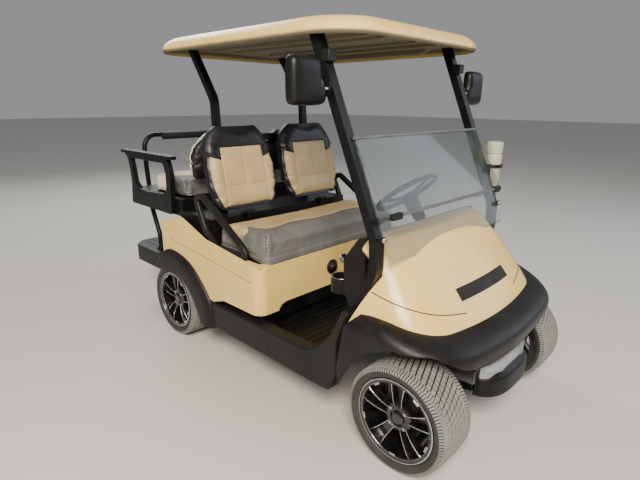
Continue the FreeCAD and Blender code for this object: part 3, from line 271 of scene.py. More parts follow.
# %% Helpers for materials
def linear(text):
    parts = [int(text[i:i + 2], 16) / 255 for i in (1, 3, 5)]
    return (*[p / 12.92 if p <= 0.04045 else ((p + 0.055) / 1.055) ** 2.4 for p in parts], 1)


def add_node(tree, kind, inputs=None, **settings):
    node = tree.nodes.new(kind)
    for name, value in settings.items():
        setattr(node, name, value)
    for key, value in (inputs or {}).items():
        if isinstance(value, bpy.types.NodeSocket):
            tree.links.new(value, node.inputs[key])
        else:
            node.inputs[key].default_value = value
    return node


def maths(tree, operation, first, second=0.0):
    return add_node(tree, "ShaderNodeMath", {0: first, 1: second}, operation=operation).outputs[0]


def socket(material, key):
    return material.node_tree.nodes["Principled BSDF"].inputs[key]


def new_material(name, colour, roughness, metallic=0.0, **sockets):
    material = bpy.data.materials.new(name)
    material.use_nodes = True
    socket(material, "Base Color").default_value = linear(colour)
    socket(material, "Roughness").default_value = roughness
    socket(material, "Metallic").default_value = metallic
    for key, value in sockets.items():
        socket(material, key.replace("_", " ").title().replace("Ior", "IOR")).default_value = value
    return material


def place(material):
    """Where a point of the surface lies."""
    return add_node(material.node_tree, "ShaderNodeTexCoord").outputs["Object"]


def noise(material, grain, detail=3.0, rough=0.5, stretch=(1, 1, 1)):
    """Noise whose grains are that many metres across; stretch makes them longer along an axis."""
    tree = material.node_tree
    turn = add_node(tree, "ShaderNodeMapping",
                    {"Vector": place(material), "Scale": [1 / s for s in stretch]})
    return add_node(tree, "ShaderNodeTexNoise", {"Vector": turn.outputs["Vector"], "Scale": 1 / grain,
                                                 "Detail": detail, "Roughness": rough}).outputs["Fac"]


def wired(material, key, output):
    material.node_tree.links.new(output, socket(material, key))


def ranged(material, value, start, stop, low=0.0, high=1.0):
    """Turns a value between start and stop into one between low and high."""
    return add_node(material.node_tree, "ShaderNodeMapRange", {
        "Value": value, "From Min": start, "From Max": stop, "To Min": low, "To Max": high,
    }).outputs["Result"]


def ramp(material, factor, colours, places=(0.3, 0.75)):
    """A colour that goes through hex colours while the factor goes through places."""
    node = add_node(material.node_tree, "ShaderNodeValToRGB", {"Fac": factor})
    marks = node.color_ramp.elements
    while len(marks) < len(colours):
        marks.new(0.5)
    for mark, colour, spot in zip(marks, colours, places):
        mark.position, mark.color = spot, linear(colour)
    return node.outputs["Color"]


def mixed(material, factor, other, key="Base Color"):
    """Gives the shader another colour, or another value, where the factor is 1."""
    first, result, kind = (6, 2, "RGBA") if key == "Base Color" else (2, 0, "FLOAT")
    both = add_node(material.node_tree, "ShaderNodeMix", {
        0: factor, first: socket(material, key).links[0].from_socket, first + 1: other}, data_type=kind)
    wired(material, key, both.outputs[result])


def rougher(material, factor, low, high):
    """Lets the gloss vary over the surface between two values."""
    wired(material, "Roughness", ranged(material, factor, 0.3, 0.7, low, high))


def embossed(material, height, depth, strength=1.0):
    """Bump of that depth in metres from a height between 0 and 1."""
    inputs = {"Height": height, "Distance": depth, "Strength": strength}
    normal = socket(material, "Normal")
    if normal.is_linked:
        inputs["Normal"] = normal.links[0].from_socket
    wired(material, "Normal", add_node(material.node_tree, "ShaderNodeBump", inputs).outputs["Normal"])


def leather(material, size, depth, strength):
    """Bump of rounded cells of that size."""
    cells = add_node(material.node_tree, "ShaderNodeTexVoronoi",
                     {"Vector": place(material), "Scale": 1 / size}, feature="SMOOTH_F1")
    embossed(material, cells.outputs["Distance"], depth, strength)


def surface(name, colour, rough, film, colours, places=(0.3, 0.75), gloss=None, bump=None, metallic=0.0,
            **sockets):
    """Colour and gloss follow one film of noise; bump is the grain, detail, depth and strength of
    another."""
    material = new_material(name, colour, rough, metallic, **sockets)
    factor = noise(material, *film)
    wired(material, "Base Color", ramp(material, factor, colours, places))
    if gloss:
        rougher(material, factor, *gloss)
    if bump:
        embossed(material, noise(material, *bump[:2]), *bump[2:])
    return material


def painted(obj, *materials):
    """Gives an object these materials and no others."""
    obj.data.materials.clear()
    for material in materials:
        obj.data.materials.append(material)
    return obj


# %% [markdown]
# The body panels are a plastic moulded with a clear acrylic skin: a warm beige, glossy, with a
# faint waviness and a thin film of dust. A coat gives the sharp highlight over a softer base.

# %% Beige moulded body plastic
BEIGE = "#e4c473"


def body_plastic(name):
    return surface(name, BEIGE, 0.34, (0.22, 4, 0.62), ("#dfbd6b", BEIGE, "#e7cb80"), (0.25, 0.55, 0.8),
                   (0.24, 0.36), (0.035, 1, 0.00025, 0.35), coat_weight=0.2, coat_roughness=0.1,
                   specular_ior_level=0.3)


paint = body_plastic("acrylic capped body plastic, beige")
# the roof is the same sheet; its underside is the rough back of it, and the darker brown there is painted
# shade
roof_plastic_shaded_below = body_plastic("acrylic capped roof sheet, rough inside")
normal = add_node(roof_plastic_shaded_below.node_tree, "ShaderNodeNewGeometry").outputs["Normal"]
facing = add_node(roof_plastic_shaded_below.node_tree, "ShaderNodeSeparateXYZ", {0: normal})
# faces that look down get the painted shade colour and more roughness
below = ranged(roof_plastic_shaded_below, facing.outputs["Z"], 0.1, -0.35)
mixed(roof_plastic_shaded_below, below, linear("#665f49"))
mixed(roof_plastic_shaded_below, below, 0.75, "Roughness")

# %% [markdown]
# The fenders, sills and bumper are black polyolefin with a leather-like grain pressed in by the
# mould. Sun and dust have turned it grey on its high spots. The grain is about 2 mm, coarser than
# the real one so that it shows.

# %% Grained black moulding
def grained_black(name, dark, light, rough):
    material = surface(name, dark, rough, (0.16, 5, 0.65), (dark, light), gloss=(rough - 0.06, rough + 0.1),
                       specular_ior_level=0.26)
    leather(material, 0.0022, 0.0005, 0.45)
    return material


grained = grained_black("grained polyolefin, sun greyed", "#101010", "#201f1e", 0.42)
smooth_black = grained_black("smooth polypropylene moulding, black", "#0a0a0b", "#151515", 0.38)

# %% [markdown]
# Struts, rails and the grab bar are steel tube with black powder coat: nearly black, half
# glossy, with the fine orange peel that melted powder leaves.

# %% Powder-coated steel
def powder_coat(name, dark, light, rough):
    return surface(name, dark, rough, (0.1, 4), (dark, light), (0.3, 0.8), (rough - 0.05, rough + 0.12),
                   (0.003, 2, 0.0002, 0.5), specular_ior_level=0.21)


steel_black = powder_coat("powder coated steel, black", "#0b0b0c", "#161617", 0.34)
strip_grey = powder_coat("anodised aluminium strip, grey", "#55575a", "#707274", 0.36)
bare_plate = powder_coat("anodised plate, dark bronze", "#15130f", "#262118", 0.5)

# %% [markdown]
# Axle castings are dull and rough, the frame rails aluminium dulled by the road. Machined wheel
# faces are bright with fine turning marks, the wheel pockets gloss black enamel.

# %% Metals
def machined(name, bright):
    return surface(name, bright, 0.22, (0.02, 4), ("#a9abad", bright), (0.3, 0.7), (0.16, 0.34),
                   (0.0012, 2, 0.00012, 0.4), 1.0)


iron = surface("cast iron, oily black", "#1c1b1a", 0.62, (0.03, 6, 0.7), ("#161514", "#33302c"), (0.3, 0.7),
               bump=(0.004, 3, 0.0006, 0.6), metallic=0.35)
aluminium = surface("extruded aluminium, road dull", "#7d7f80", 0.5, (0.06, 5, 0.5, (1, 8, 1)),
                    ("#5c5d5c", "#8a8c8d"), gloss=(0.42, 0.65), metallic=0.9)
bright_face = machined("aluminium, diamond turned face", "#c9cbcd")
plated = machined("zinc plated steel", "#b4b5b2")
enamel = surface("gloss enamel on cast alloy, black", "#0b0b0c", 0.16, (0.05, 5, 0.7),
                 ("#08080a", "#1d1b19"), (0.35, 0.8), (0.12, 0.34), coat_weight=0.8, coat_roughness=0.05)

# %% [markdown]
# Tyre rubber is matt and brown-grey with dust. The tread is paler where it has rolled over sand.

# %% Rubber
def tyre_rubber(name, dark, light, rough):
    return surface(name, dark, rough, (0.05, 6, 0.7), (dark, light), gloss=(rough - 0.08, rough + 0.08),
                   bump=(0.003, 3, 0.0003, 0.5), specular_ior_level=0.3)


sidewall = tyre_rubber("tyre rubber, sidewall", "#2b2a29", "#403f3c", 0.6)
tread_rubber = tyre_rubber("tyre rubber, dusty tread", "#73726e", "#8d8c87", 0.8)
# the groove floor is painted darker than the sidewall rubber, as shade in the grooves
groove_rubber_shaded = tyre_rubber("tyre rubber, groove floor", "#151413", "#22201e", 0.85)
grip_rubber = tyre_rubber("moulded grip, black", "#121212", "#1d1d1d", 0.55)

# %% [markdown]
# The windscreen is clear acrylic sheet with a faint green tint. Lamp covers are clear
# polycarbonate over a bright reflector; the mirrors are silvered glass. The bottle is cloudy
# plastic that lets some light into it.

# %% Glass, lenses and the bottle's plastic
def clear_sheet(name, tint, rough, alpha):
    material = new_material(name, tint, rough, alpha=alpha, specular_ior_level=0.6, coat_weight=0.6,
                            coat_roughness=0.02)
    rougher(material, noise(material, 0.12, 5, 0.7), rough, rough + 0.08)
    return material


acrylic = clear_sheet("acrylic sheet, faint green", "#36423b", 0.03, 0.24)
lens = clear_sheet("polycarbonate lamp cover", "#e8eef2", 0.05, 0.3)
red_lens = new_material("polycarbonate lamp cover, red", "#8e1512", 0.12, coat_weight=0.6)
embossed(red_lens, noise(red_lens, 0.004, 1), 0.0004, 0.5)
reflector = machined("vacuum metallised reflector", "#e4e6e8")
mirror_glass = new_material("silvered glass", "#cfd4d8", 0.04, 1.0)
rougher(mirror_glass, noise(mirror_glass, 0.05, 4), 0.03, 0.09)
# a dark strip of painted shadow, laid in grooves and creases
gap_shadow_paint = new_material("shadow in a panel gap", "#2a2018", 0.9)
embossed(gap_shadow_paint, noise(gap_shadow_paint, 0.01, 2), 0.0003, 0.3)
bottle_plastic = surface("polyethylene, cloudy green grey", "#a9ad97", 0.42, (0.05, 3),
                         ("#9ea38c", "#b6b9a4"), (0.3, 0.7), subsurface_weight=0.15)
print("materials", len(bpy.data.materials))

# %% [markdown]
# Many solids already have the right shape and only get their material, and a small bevel, since
# no mould leaves a knife edge. Weld joins the loose triangles of the solid's mesh before that,
# and Decimate takes the lines out of its flat faces.

# %% Dressing the solids
def dressed(node, material, edge):
    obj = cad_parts[node]
    if not obj.material_slots:
        obj.data.materials.append(material)
    for spot in obj.material_slots:
        spot.material = material
    modify(smoothed(obj), "WELD", merge_threshold=0.00002)
    if edge:
        modify(obj, "DECIMATE", decimate_type="DISSOLVE", angle_limit=math.radians(0.5))
        modify(obj, "BEVEL", width=edge, segments=2, limit_method="ANGLE",
               angle_limit=math.radians(35), harden_normals=True)
    modify(obj, "WEIGHTED_NORMAL", keep_sharp=False)


# the width of the softened edges of each node, by material
DRESS = {
    iron: dict(front_axle=0.001, knuckle_left=0.001, knuckle_right=0.001, rear_axle=0.002, motor=0.002),
    plated: dict(tie_rod=0),
    aluminium: dict(frame=0.0015),
    steel_black: dict(springs=0.001, steering_column=0.001, pedals=0.002, roof_posts=0.003,
                      rear_armrests=0.0015, grab_bar=0),
    grained: dict(sills=0.004, front_fender=0),
    smooth_black: dict(floor_pan=0.002, seat_deck=0.002, battery_pack=0.004, front_bumper=0, dash=0.0015,
                       seat_pan=0.001, rear_seat_base=0.003, foot_plate=0.003),
    paint: dict(rear_body=0.0015, front_cowl=0),
    roof_plastic_shaded_below: dict(roof=0),
    lens: dict(lamps=0.002),
    acrylic: dict(windscreen=0.0008),
    grip_rubber: dict(steering_wheel=0.001),
}
for material, nodes in DRESS.items():
    for node, edge in nodes.items():
        dressed(node, material, edge)
print("dressed", sum(len(nodes) for nodes in DRESS.values()), "solids")


def fitted(obj, material, slot="black_plastic", *nodes, body="chassis"):
    """Gives a finished piece its material and body, and hides the solids that it stands for. slot is not
    used.
    """
    if material:
        painted(obj, material)
    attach(obj, body)
    if nodes:
        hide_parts(*nodes)
    return obj


# %% [markdown]
# Treads, spokes, ribs and screws are one small shape many times over. One Geometry Nodes tree
# does them all: an arrangement gives the points, the tree puts the shape on each and makes the
# copies real. Its named inputs are the shape, its finish, and a count or a size.

# %% Geometry Nodes: one thing many times
KINDS = {"Spots": "Geometry", "Count": "Int", "Part": "Object", "Size": "Float", "Finish": "Material"}


def repeated(name, spots, arrangement, values):
    """Repeats the object Part on the points of an arrangement, as one mesh with the Finish."""
    tree = bpy.data.node_groups.new(name, "GeometryNodeTree")
    named = {}
    for label in values:
        kind = "NodeSocket" + KINDS[label]
        named[label] = tree.interface.new_socket(label, in_out="INPUT", socket_type=kind).identifier
    tree.interface.new_socket("Geometry", in_out="OUTPUT", socket_type="NodeSocketGeometry")
    given = add_node(tree, "NodeGroupInput").outputs
    shape = add_node(tree, "GeometryNodeObjectInfo", {"Object": given["Part"]})
    copies = add_node(tree, "GeometryNodeInstanceOnPoints",
                      {"Instance": shape.outputs["Geometry"], **arrangement(tree, given)})
    real = add_node(tree, "GeometryNodeRealizeInstances", {"Geometry": copies.outputs["Instances"]})
    coat = add_node(tree, "GeometryNodeSetMaterial",
                    {"Geometry": real.outputs["Geometry"], "Material": given["Finish"]})
    add_node(tree, "NodeGroupOutput", {"Geometry": coat.outputs["Geometry"]})
    holder = raw_object(name, spots)
    modifier = modify(holder, "NODES", node_group=tree)
    for label, value in values.items():
        if value is not None:
            modifier[named[label]] = value
    return baked(holder)


def round_axle(tree, given):
    """Count points at the origin, each turned further about the axle."""
    spots = add_node(tree, "GeometryNodeMeshLine", {"Count": given["Count"], "Offset": (0, 0, 0)})
    step = maths(tree, "DIVIDE", 2 * math.pi, given["Count"])
    angle = maths(tree, "MULTIPLY", step, add_node(tree, "GeometryNodeInputIndex").outputs[0])
    turn = add_node(tree, "ShaderNodeCombineXYZ", {"X": angle})
    return {"Points": spots.outputs["Mesh"], "Rotation": turn.outputs["Vector"]}


def on_spots(tree, given):
    return {"Points": given["Spots"], "Scale": given["Size"]}


def repeat_round(name, part, count, centre, material):
    """Repeats a part that is drawn at the top of a wheel whose axle lies at the origin."""
    holder = repeated(name, (), round_axle, {"Count": count, "Part": part, "Finish": material})
    holder.data.transform(Matrix.Translation(centre))
    return holder


def repeat_at(name, part, spots, material):
    holder = repeated(name, spots, on_spots, {"Spots": None, "Part": part, "Size": 1.0, "Finish": material})
    bpy.data.objects.remove(part)
    return holder


# %% [markdown]
# The tyre's carcass is one profile turned about the axle: bead, bulging sidewall, shoulder and
# the floor of the grooves. Its tread is a lattice: rows of slanted blocks, two shorter ones per
# pitch on each shoulder, and thin bars that run down beside them.

# %% Tyres
TYRE_R, TYRE_HALF = front_axle.z, 0.1075
TREAD_DEEP, PITCHES = 0.005, 56
PITCH = 2 * math.pi * TYRE_R / PITCHES
# where the rows of blocks lie, how wide a block is, the gap to the next, how it is slanted
BLOCK_ROWS = (-0.0585, -0.0351, -0.0117, 0.0117, 0.0351, 0.0585)
BLOCK_WIDE, BLOCK_GAP, SLANT = 0.0158, 0.0072, 0.4
# the same for the blocks on the shoulders, and the gap between bars
SHOULDER, SHOULDER_WIDE, SHOULDER_GAP, SHOULDER_SKEW, BAR_GAP = 0.0835, 0.0244, 0.0046, -0.003, 0.0038
# walls of a block: how far they stand out from its top and lie below it
WALLS = ((0.0, 0.0), (0.0005, 0.0006), (0.0008, TREAD_DEEP))
# path of a bar, across and out from the axle; its section, as shares of its length and heights
BAR_PATH = ((0.0965, 0.2192), (0.102, 0.2163), (0.106, 0.2115), (0.1082, 0.205))
BAR_SECTION = ((-0.5, -0.0012), (-0.36, 0.001), (0.36, 0.001), (0.5, -0.0012))
# half profile of the carcass: across, out from the axle
CARCASS = (
    (0.0886, 0.1584), (0.0886, 0.1766), (0.0935, 0.1785), (0.099, 0.1795), (0.101, 0.1835),
    (0.1016, 0.184), (0.1042, 0.188), (0.106, 0.193), (0.1072, 0.2), (0.107, 0.207),
    (0.105, 0.2125), (0.101, 0.217), (0.095, 0.22), (0.08, 0.2215), (0.05, 0.2228), (0.0, 0.2233),
)
CORNERS = ("front_left", "front_right", "rear_left", "rear_right")


def crown(across):
    """Radius of the top of the tread, which is a little lower at the shoulders."""
    return TYRE_R - 0.0042 * (abs(across) / 0.1) ** 3


def on_tyre(across, around, out):
    """A point out from the axle, moved round the tyre by a length along its tread."""
    angle = around / TYRE_R
    return across, out * math.sin(angle), out * math.cos(angle)


def tread_block(points, faces, across, wide, around, long, skew):
    """One block: a top of 2 x 2 quads with sloping walls; across and around are of its middle."""
    first = len(points)
    for level, (grow, drop) in enumerate(WALLS):
        for i in (-1, 0, 1):
            for j in (-1, 0, 1):
                if level and i == 0 == j:
                    continue
                a = across + i * (wide / 2 + grow)
                points.append(on_tyre(a, around + j * (long / 2 + grow) + skew * i, crown(a) - drop))
    quads = ((0, 1, 4, 3), (1, 2, 5, 4), (3, 4, 7, 6), (4, 5, 8, 7))
    faces += [tuple(first + k for k in quad) for quad in quads]
    top = [first + k for k in (0, 1, 2, 5, 8, 7, 6, 3)]
    upper = [first + 9 + k for k in (0, 1, 2, 4, 7, 6, 5, 3)]
    lower = [k + 8 for k in upper]
    for k in range(8):
        n = (k + 1) % 8
        faces += [(top[k], top[n], upper[n], upper[k]), (upper[k], upper[n], lower[n], lower[k])]


def shoulder_bar(points, faces, side, around, long):
    """Thin raised bar that runs from the tread over the shoulder on to the sidewall."""
    first = len(points)
    for a, r in BAR_PATH:
        for shift, lift in BAR_SECTION:
            across = side * min(a + lift * 0.5, TYRE_HALF)
            points.append(on_tyre(across, around + shift * long, r + lift * 0.6))
    for i in range(len(BAR_PATH) - 1):
        for j in range(3):
            k = first + i * 4 + j
            faces.append((k, k + 1, k + 5, k + 4)[::side])


def pitch_parts():
    """One pitch of the blocks and one of the bars."""
    blocks, bars = ([], []), ([], [])
    for across in BLOCK_ROWS:
        tread_block(*blocks, across, BLOCK_WIDE, SLANT * across, PITCH - BLOCK_GAP, SLANT * BLOCK_WIDE / 2)
    for side in (-1, 1):
        for around in (-PITCH / 8, PITCH * 3 / 8):
            tread_block(*blocks, side * SHOULDER, SHOULDER_WIDE, around, PITCH / 2 - SHOULDER_GAP,
                        side * SHOULDER_SKEW)
            shoulder_bar(*bars, side, around, PITCH / 2 - BAR_GAP)
    return raw_object("tread pitch", *blocks), raw_object("shoulder pitch", *bars)


def second_material(obj, centre, test):
    """Gives the second material to the faces that pass a test of their x and distance from the axle."""
    for face in obj.data.polygons:
        spot = face.center - centre
        if test(spot.x, math.hypot(spot.y, spot.z)):
            face.material_index = 1


def tyre(corner, blocks, bars):
    centre = wheel_middle[corner]
    tread = repeat_round("tread", blocks, PITCHES, centre, tread_rubber)
    bars = repeat_round("bars", bars, PITCHES, centre, tread_rubber)
    profile = [(-a, r) for a, r in CARCASS[:-1]] + [(a, r) for a, r in reversed(CARCASS)]
    carcass = painted(turned("tyre", profile, centre, 128), sidewall, groove_rubber_shaded)
    # the floor of the grooves gets the darker rubber of painted shade
    second_material(carcass, centre, lambda x, out: out > 0.2195)
    whole = split(joined("tyre_dressed_" + corner, [carcass, tread, bars]), 38)
    return fitted(whole, None, "tyre", "tyre_" + corner, body="wheel_" + corner)


wheel_middle = {corner: middle("tyre_" + corner) for corner in CORNERS}
parts = pitch_parts()
for corner in CORNERS:
    last_tyre = tyre(corner, *parts)
for part in parts:
    bpy.data.objects.remove(part)
print("tyres", len(last_tyre.data.polygons), "faces each")

# %% [markdown]
# The wheel is a cast alloy, painted black and then faced in a lathe: the edges of its five
# channelled spokes and its lip are bright metal, the pockets stayed black.

# %% Wheels
SPOKES = 5
FACE = 0.0835                       # machined face of the spokes, from the middle of the wheel
# height above the axle, half width, depth of the face behind FACE
SPOKE_ROWS = ((0.036, 0.017, 0.016), (0.055, 0.0185, 0.008), (0.085, 0.0225, 0.002), (0.12, 0.028, 0.0),
              (0.15, 0.034, 0.001), (0.166, 0.039, 0.003))
# share of the half width, extra depth; the faces that follow the points in SPOKE_BRIGHT are bright
SPOKE_ACROSS = ((-1.0, 0.04), (-1.0, 0.0012), (-0.97, 0.0), (-0.84, 0.0), (-0.8, 0.0015), (-0.62, 0.03),
                (0.62, 0.03), (0.8, 0.0015), (0.84, 0.0), (0.97, 0.0), (1.0, 0.0012), (1.0, 0.04))
SPOKE_BRIGHT = (1, 2, 8, 9)
# profiles: along the axle, out from it
BARREL = ((-0.099, 0.15), (-0.099, 0.17), (-0.0894, 0.17), (-0.0894, 0.1578), (0.0884, 0.1578),
          (0.0884, 0.17), (0.093, 0.17), (0.093, 0.156), (0.07, 0.154), (0.05, 0.148),
          (-0.02, 0.145), (-0.085, 0.148))
LIP = ((0.089, 0.1705), (0.089, 0.1758), (0.096, 0.176), (0.099, 0.1752), (0.1, 0.1735),
       (0.0998, 0.17), (0.0975, 0.169), (0.0965, 0.16), (0.0955, 0.159), (0.088, 0.158))
HUB = ((0.02, 0.0), (0.02, 0.062), (0.055, 0.064), (0.066, 0.06), (0.072, 0.05), (0.0735, 0.036),
       (0.0725, 0.034), (0.066, 0.032), (0.066, 0.03), (0.074, 0.0285), (0.079, 0.022), (0.0805, 0.0))
# out from the nut's own axis, and along it
NUT = ((0.0, 0.0), (0.0095, 0.0), (0.0095, 0.01), (0.0075, 0.014), (0.003, 0.0155), (0.0, 0.016))
NUTS, NUT_FOOT, NUT_CIRCLE = 4, 0.062, 0.047


def spoke_part():
    """A spoke that points up: a black floor between two bright edges, thick enough to carry."""
    rows = [[(FACE - sink - deep, share * half, height) for share, deep in SPOKE_ACROSS]
            for height, half, sink in SPOKE_ROWS]
    points, faces = grid(rows, around=True)
    obj = raw_object("spoke", points, [face[:1] + face[:0:-1] for face in faces])
    bright = [int(k % len(SPOKE_ACROSS) in SPOKE_BRIGHT) for k in range(len(faces))]
    obj.data.attributes.new("bright", "INT", "FACE").data.foreach_set("value", bright)
    return obj


def lug_nut(turn):
    """Six-sided nut with a domed end, on a circle round the hub."""
    rows = []
    for step in range(6):
        around = math.radians(60 * step)
        rows.append([(NUT_FOOT + rise, NUT_CIRCLE + out * math.cos(around), out * math.sin(around))
                     for out, rise in NUT])
    obj = mesh_object("nut", *grid(rows, along=True), smooth=False)
    obj.data.transform(Matrix.Rotation(2 * math.pi * (turn + 0.5) / NUTS, 4, "X"))
    return painted(obj, plated)


def notch(turn):
    """The bright foot of the lip between two spokes."""
    obj = block("notch", (0.093, -0.014, 0.149), (0.0968, 0.014, 0.1585), 0.0015)
    obj.data.transform(Matrix.Rotation(2 * math.pi * (turn + 0.5) / SPOKES, 4, "X"))
    return painted(obj, bright_face)


def wheel(corner, spoke):
    """Barrel, lip, spokes, hub and nuts of one wheel, drawn with its outside towards +X."""
    origin = Vector()
    barrel = painted(turned("barrel", BARREL, origin), enamel)
    hub = painted(turned("hub", HUB, origin, 64), enamel)
    lip = painted(turned("lip", LIP, origin, 128), bright_face, enamel)
    second_material(lip, origin, lambda x, out: 0.1605 < out < 0.17)
    spokes = painted(repeat_round("spokes", spoke, SPOKES, origin, enamel), enamel, bright_face)
    for face, shine in zip(spokes.data.polygons, spokes.data.attributes["bright"].data):
        face.material_index = shine.value
    nuts, notches = [lug_nut(turn) for turn in range(NUTS)], [notch(turn) for turn in range(SPOKES)]
    whole = split(joined("wheel_dressed_" + corner, [barrel, lip, spokes, hub, *nuts, *notches]), 32)
    if corner.endswith("right"):
        whole.data.transform(Matrix.Rotation(math.pi, 4, "Z"))
    whole.data.transform(Matrix.Translation(wheel_middle[corner]))
    return fitted(whole, None, "alloy", "rim_" + corner, body="wheel_" + corner)


spoke = spoke_part()
for corner in CORNERS:
    last_wheel = wheel(corner, spoke)
bpy.data.objects.remove(spoke)
print("wheels", len(last_wheel.data.polygons), "faces each")

# %% [markdown]
# The seats are expanded vinyl sewn over foam: charcoal on the borders that get rubbed, tan where
# people sit, with a leather grain pressed into it. Where the two colours meet is a seam, so the
# colour follows an attribute measured from that seam in metres, and stays sharp.

# %% Vinyl
def vinyl(name, border, insert, rough=0.46):
    """border and insert are pairs of hex colours, darker and lighter."""
    film = (0.11, 5, 0.62)
    material = surface(name, border[0], rough, film, border, gloss=(rough - 0.06, rough + 0.1),
                       specular_ior_level=0.42)
    seam = add_node(material.node_tree, "ShaderNodeAttribute", attribute_name="insert")
    mixed(material, ranged(material, seam.outputs["Fac"], -0.0006, 0.0006),
          ramp(material, noise(material, *film), insert))
    leather(material, 0.0024, 0.0004, 0.4)
    embossed(material, noise(material, 0.05, 3), 0.002, 0.35)
    return material


TAN, CREAM = ("#ab9468", "#bfa87c"), ("#cfc8a4", "#e0dabb")
# the borders are one charcoal vinyl: on the bench and the rear cushion it is painted lighter as sunlight,
# on the seat backs it is painted near black as shade
two_tone_sunlit = vinyl("expanded vinyl, charcoal and tan", ("#5c5c58", "#6f6e69"), TAN)
back_vinyl_shaded = vinyl("expanded vinyl, black and tan", ("#0f0f12", "#1a1a1e"), TAN, 0.4)
rear_vinyl_shaded = vinyl("expanded vinyl, black and cream", ("#121214", "#1e1e22"), CREAM, 0.42)
pale_vinyl_sunlit = vinyl("expanded vinyl, charcoal and cream", ("#4d4e4d", "#63635f"), CREAM)

# %% [markdown]
# A cushion is foam that pushes its cover outwards, so the cover bulges between its seams and
# pulls in at the corners. Cloth with pressure does that: the solid is copied, made a little
# smaller, remeshed into even squares and blown up. How far a point may move is capped, so the
# cushion stays in its place. Seams come last, because the remesh would erase them: each is a
# narrow groove, and the foam crowns between them.

# %% Swelling a cushion
SWELL_FRAMES, SWELL_CAP = 20, 0.016


def swollen(name, node, held, shape=None, half=False):
    """Blown-up copy of a solid. held tells which points stay, shape moves each point before the
    cover is blown up, and half keeps only the left side."""
    obj = painted(link(bpy.data.objects.new(name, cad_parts[node].data.copy())))
    tool = bmesh.new()
    tool.from_mesh(obj.data)
    if half:
        bmesh.ops.delete(tool, geom=[v for v in tool.verts if v.co.x < 0], context="VERTS")
    bmesh.ops.remove_doubles(tool, verts=tool.verts, dist=0.00005)
    tool.to_mesh(obj.data)
    tool.free()
    modify(obj, "REMESH", mode="VOXEL", voxel_size=0.008)
    modify(obj, "SMOOTH", factor=0.5, iterations=4)
    modify(obj, "DISPLACE", strength=-0.009, mid_level=0)
    baked(obj)
    for vertex in obj.data.vertices if shape else ():
        vertex.co = shape(vertex.co)
    rest = [v.co.copy() for v in obj.data.vertices]
    pins = obj.vertex_groups.new(name="held")
    pins.add([i for i, p in enumerate(rest) if held(p)], 1.0, "REPLACE")
    cloth = modify(obj, "CLOTH").settings
    cloth.quality, cloth.shrink_min, cloth.vertex_group_mass = 4, -0.006, "held"
    cloth.use_pressure, cloth.uniform_pressure_force = True, 4
    cloth.effector_weights.gravity = 0
    for step in range(1, SWELL_FRAMES + 1):
        bpy.context.scene.frame_set(step)
    baked(obj)
    bpy.context.scene.frame_set(1)
    for vertex, start in zip(obj.data.vertices, rest):
        way = vertex.co - start
        if way.length > 1e-6:
            vertex.co = start + way.normalized() * SWELL_CAP * math.tanh(way.length / SWELL_CAP)
    obj.vertex_groups.clear()
    modify(obj, "SUBSURF", levels=1, render_levels=1)
    return baked(obj)


def sewn(obj, pattern):
    """pattern gives, for a point and its normal, how far it lies inside the insert and from a
    seam, and how far it is moved besides."""
    normals = [v.normal.copy() for v in obj.data.vertices]
    mask = []
    for vertex, normal in zip(obj.data.vertices, normals):
        inside, gap, extra = pattern(vertex.co, normal)
        mask.append(inside)
        lift = 0.004 * (1 - math.exp(-(gap / 0.035) ** 2)) - 0.0035 * math.exp(-(gap / 0.0045) ** 2)
        vertex.co += normal * (lift + extra)
    obj.data.attributes.new("insert", "FLOAT", "POINT").data.foreach_set("value", mask)
    return smoothed(obj)


def cushion(obj, material, node, body="chassis"):
    fitted(obj, material, "vinyl", node, body=body)


def round_corners(low, high, radius):
    """Gives a box of padding round corners, seen from above."""
    half_x, half_y = (high.x - low.x) / 2, (high.y - low.y) / 2
    mid_x, mid_y = (high.x + low.x) / 2, (high.y + low.y) / 2

    def moved(p):
        x, y = p.x - mid_x, p.y - mid_y
        over_x, over_y = abs(x) - (half_x - radius), abs(y) - (half_y - radius)
        if over_x > 0 and over_y > 0:
            shrink = max(over_x, over_y) / math.hypot(over_x, over_y)
            x = math.copysign(half_x - radius + over_x * shrink, x)
            y = math.copysign(half_y - radius + over_y * shrink, y)
        return Vector((mid_x + x, mid_y + y, p.z))
    return moved


# %% Front cushion
bench_low, bench_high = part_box("front_cushion")
bench_round = round_corners(bench_low, bench_high, 0.05)
PEAK_X = 0.452                      # where the charcoal border reaches furthest back
BENCH_HALF = 0.5325                 # the arm rails stand close beside it


def border_line(x):
    """y where the charcoal front border of the bench ends and the tan top begins."""
    wave = 0.014 * math.cos(2 * math.pi * (abs(x) - 0.21) / 0.34)
    peak = 0.06 * math.exp(-((abs(x) - PEAK_X) / 0.022) ** 2)
    return bench_low.y + 0.136 + wave + peak + (0.045 if abs(x) > PEAK_X else 0)


def bench_pattern(p, n):
    top = min(n.z - 0.3, 0.5) * 0.05
    inside = min(p.y - border_line(p.x), top + 0.004, bench_high.x - 0.02 - abs(p.x))
    gap = abs(inside) if n.z > 0.1 else 0.08
    hem = abs(p.z - (bench_low.z + 0.02))
    if n.z > 0.6 and inside > 0:
        gap = min(gap, abs(p.x))
    corner = math.exp(-((abs(p.x) - bench_high.x) ** 2 + (p.y - bench_low.y - 0.02) ** 2) / 0.06 ** 2)
    folds = 0.0016 * corner * math.sin(2 * math.pi * p.z / 0.017 + 25 * p.x) if n.z < 0.7 else 0
    return inside, min(gap, hem), folds


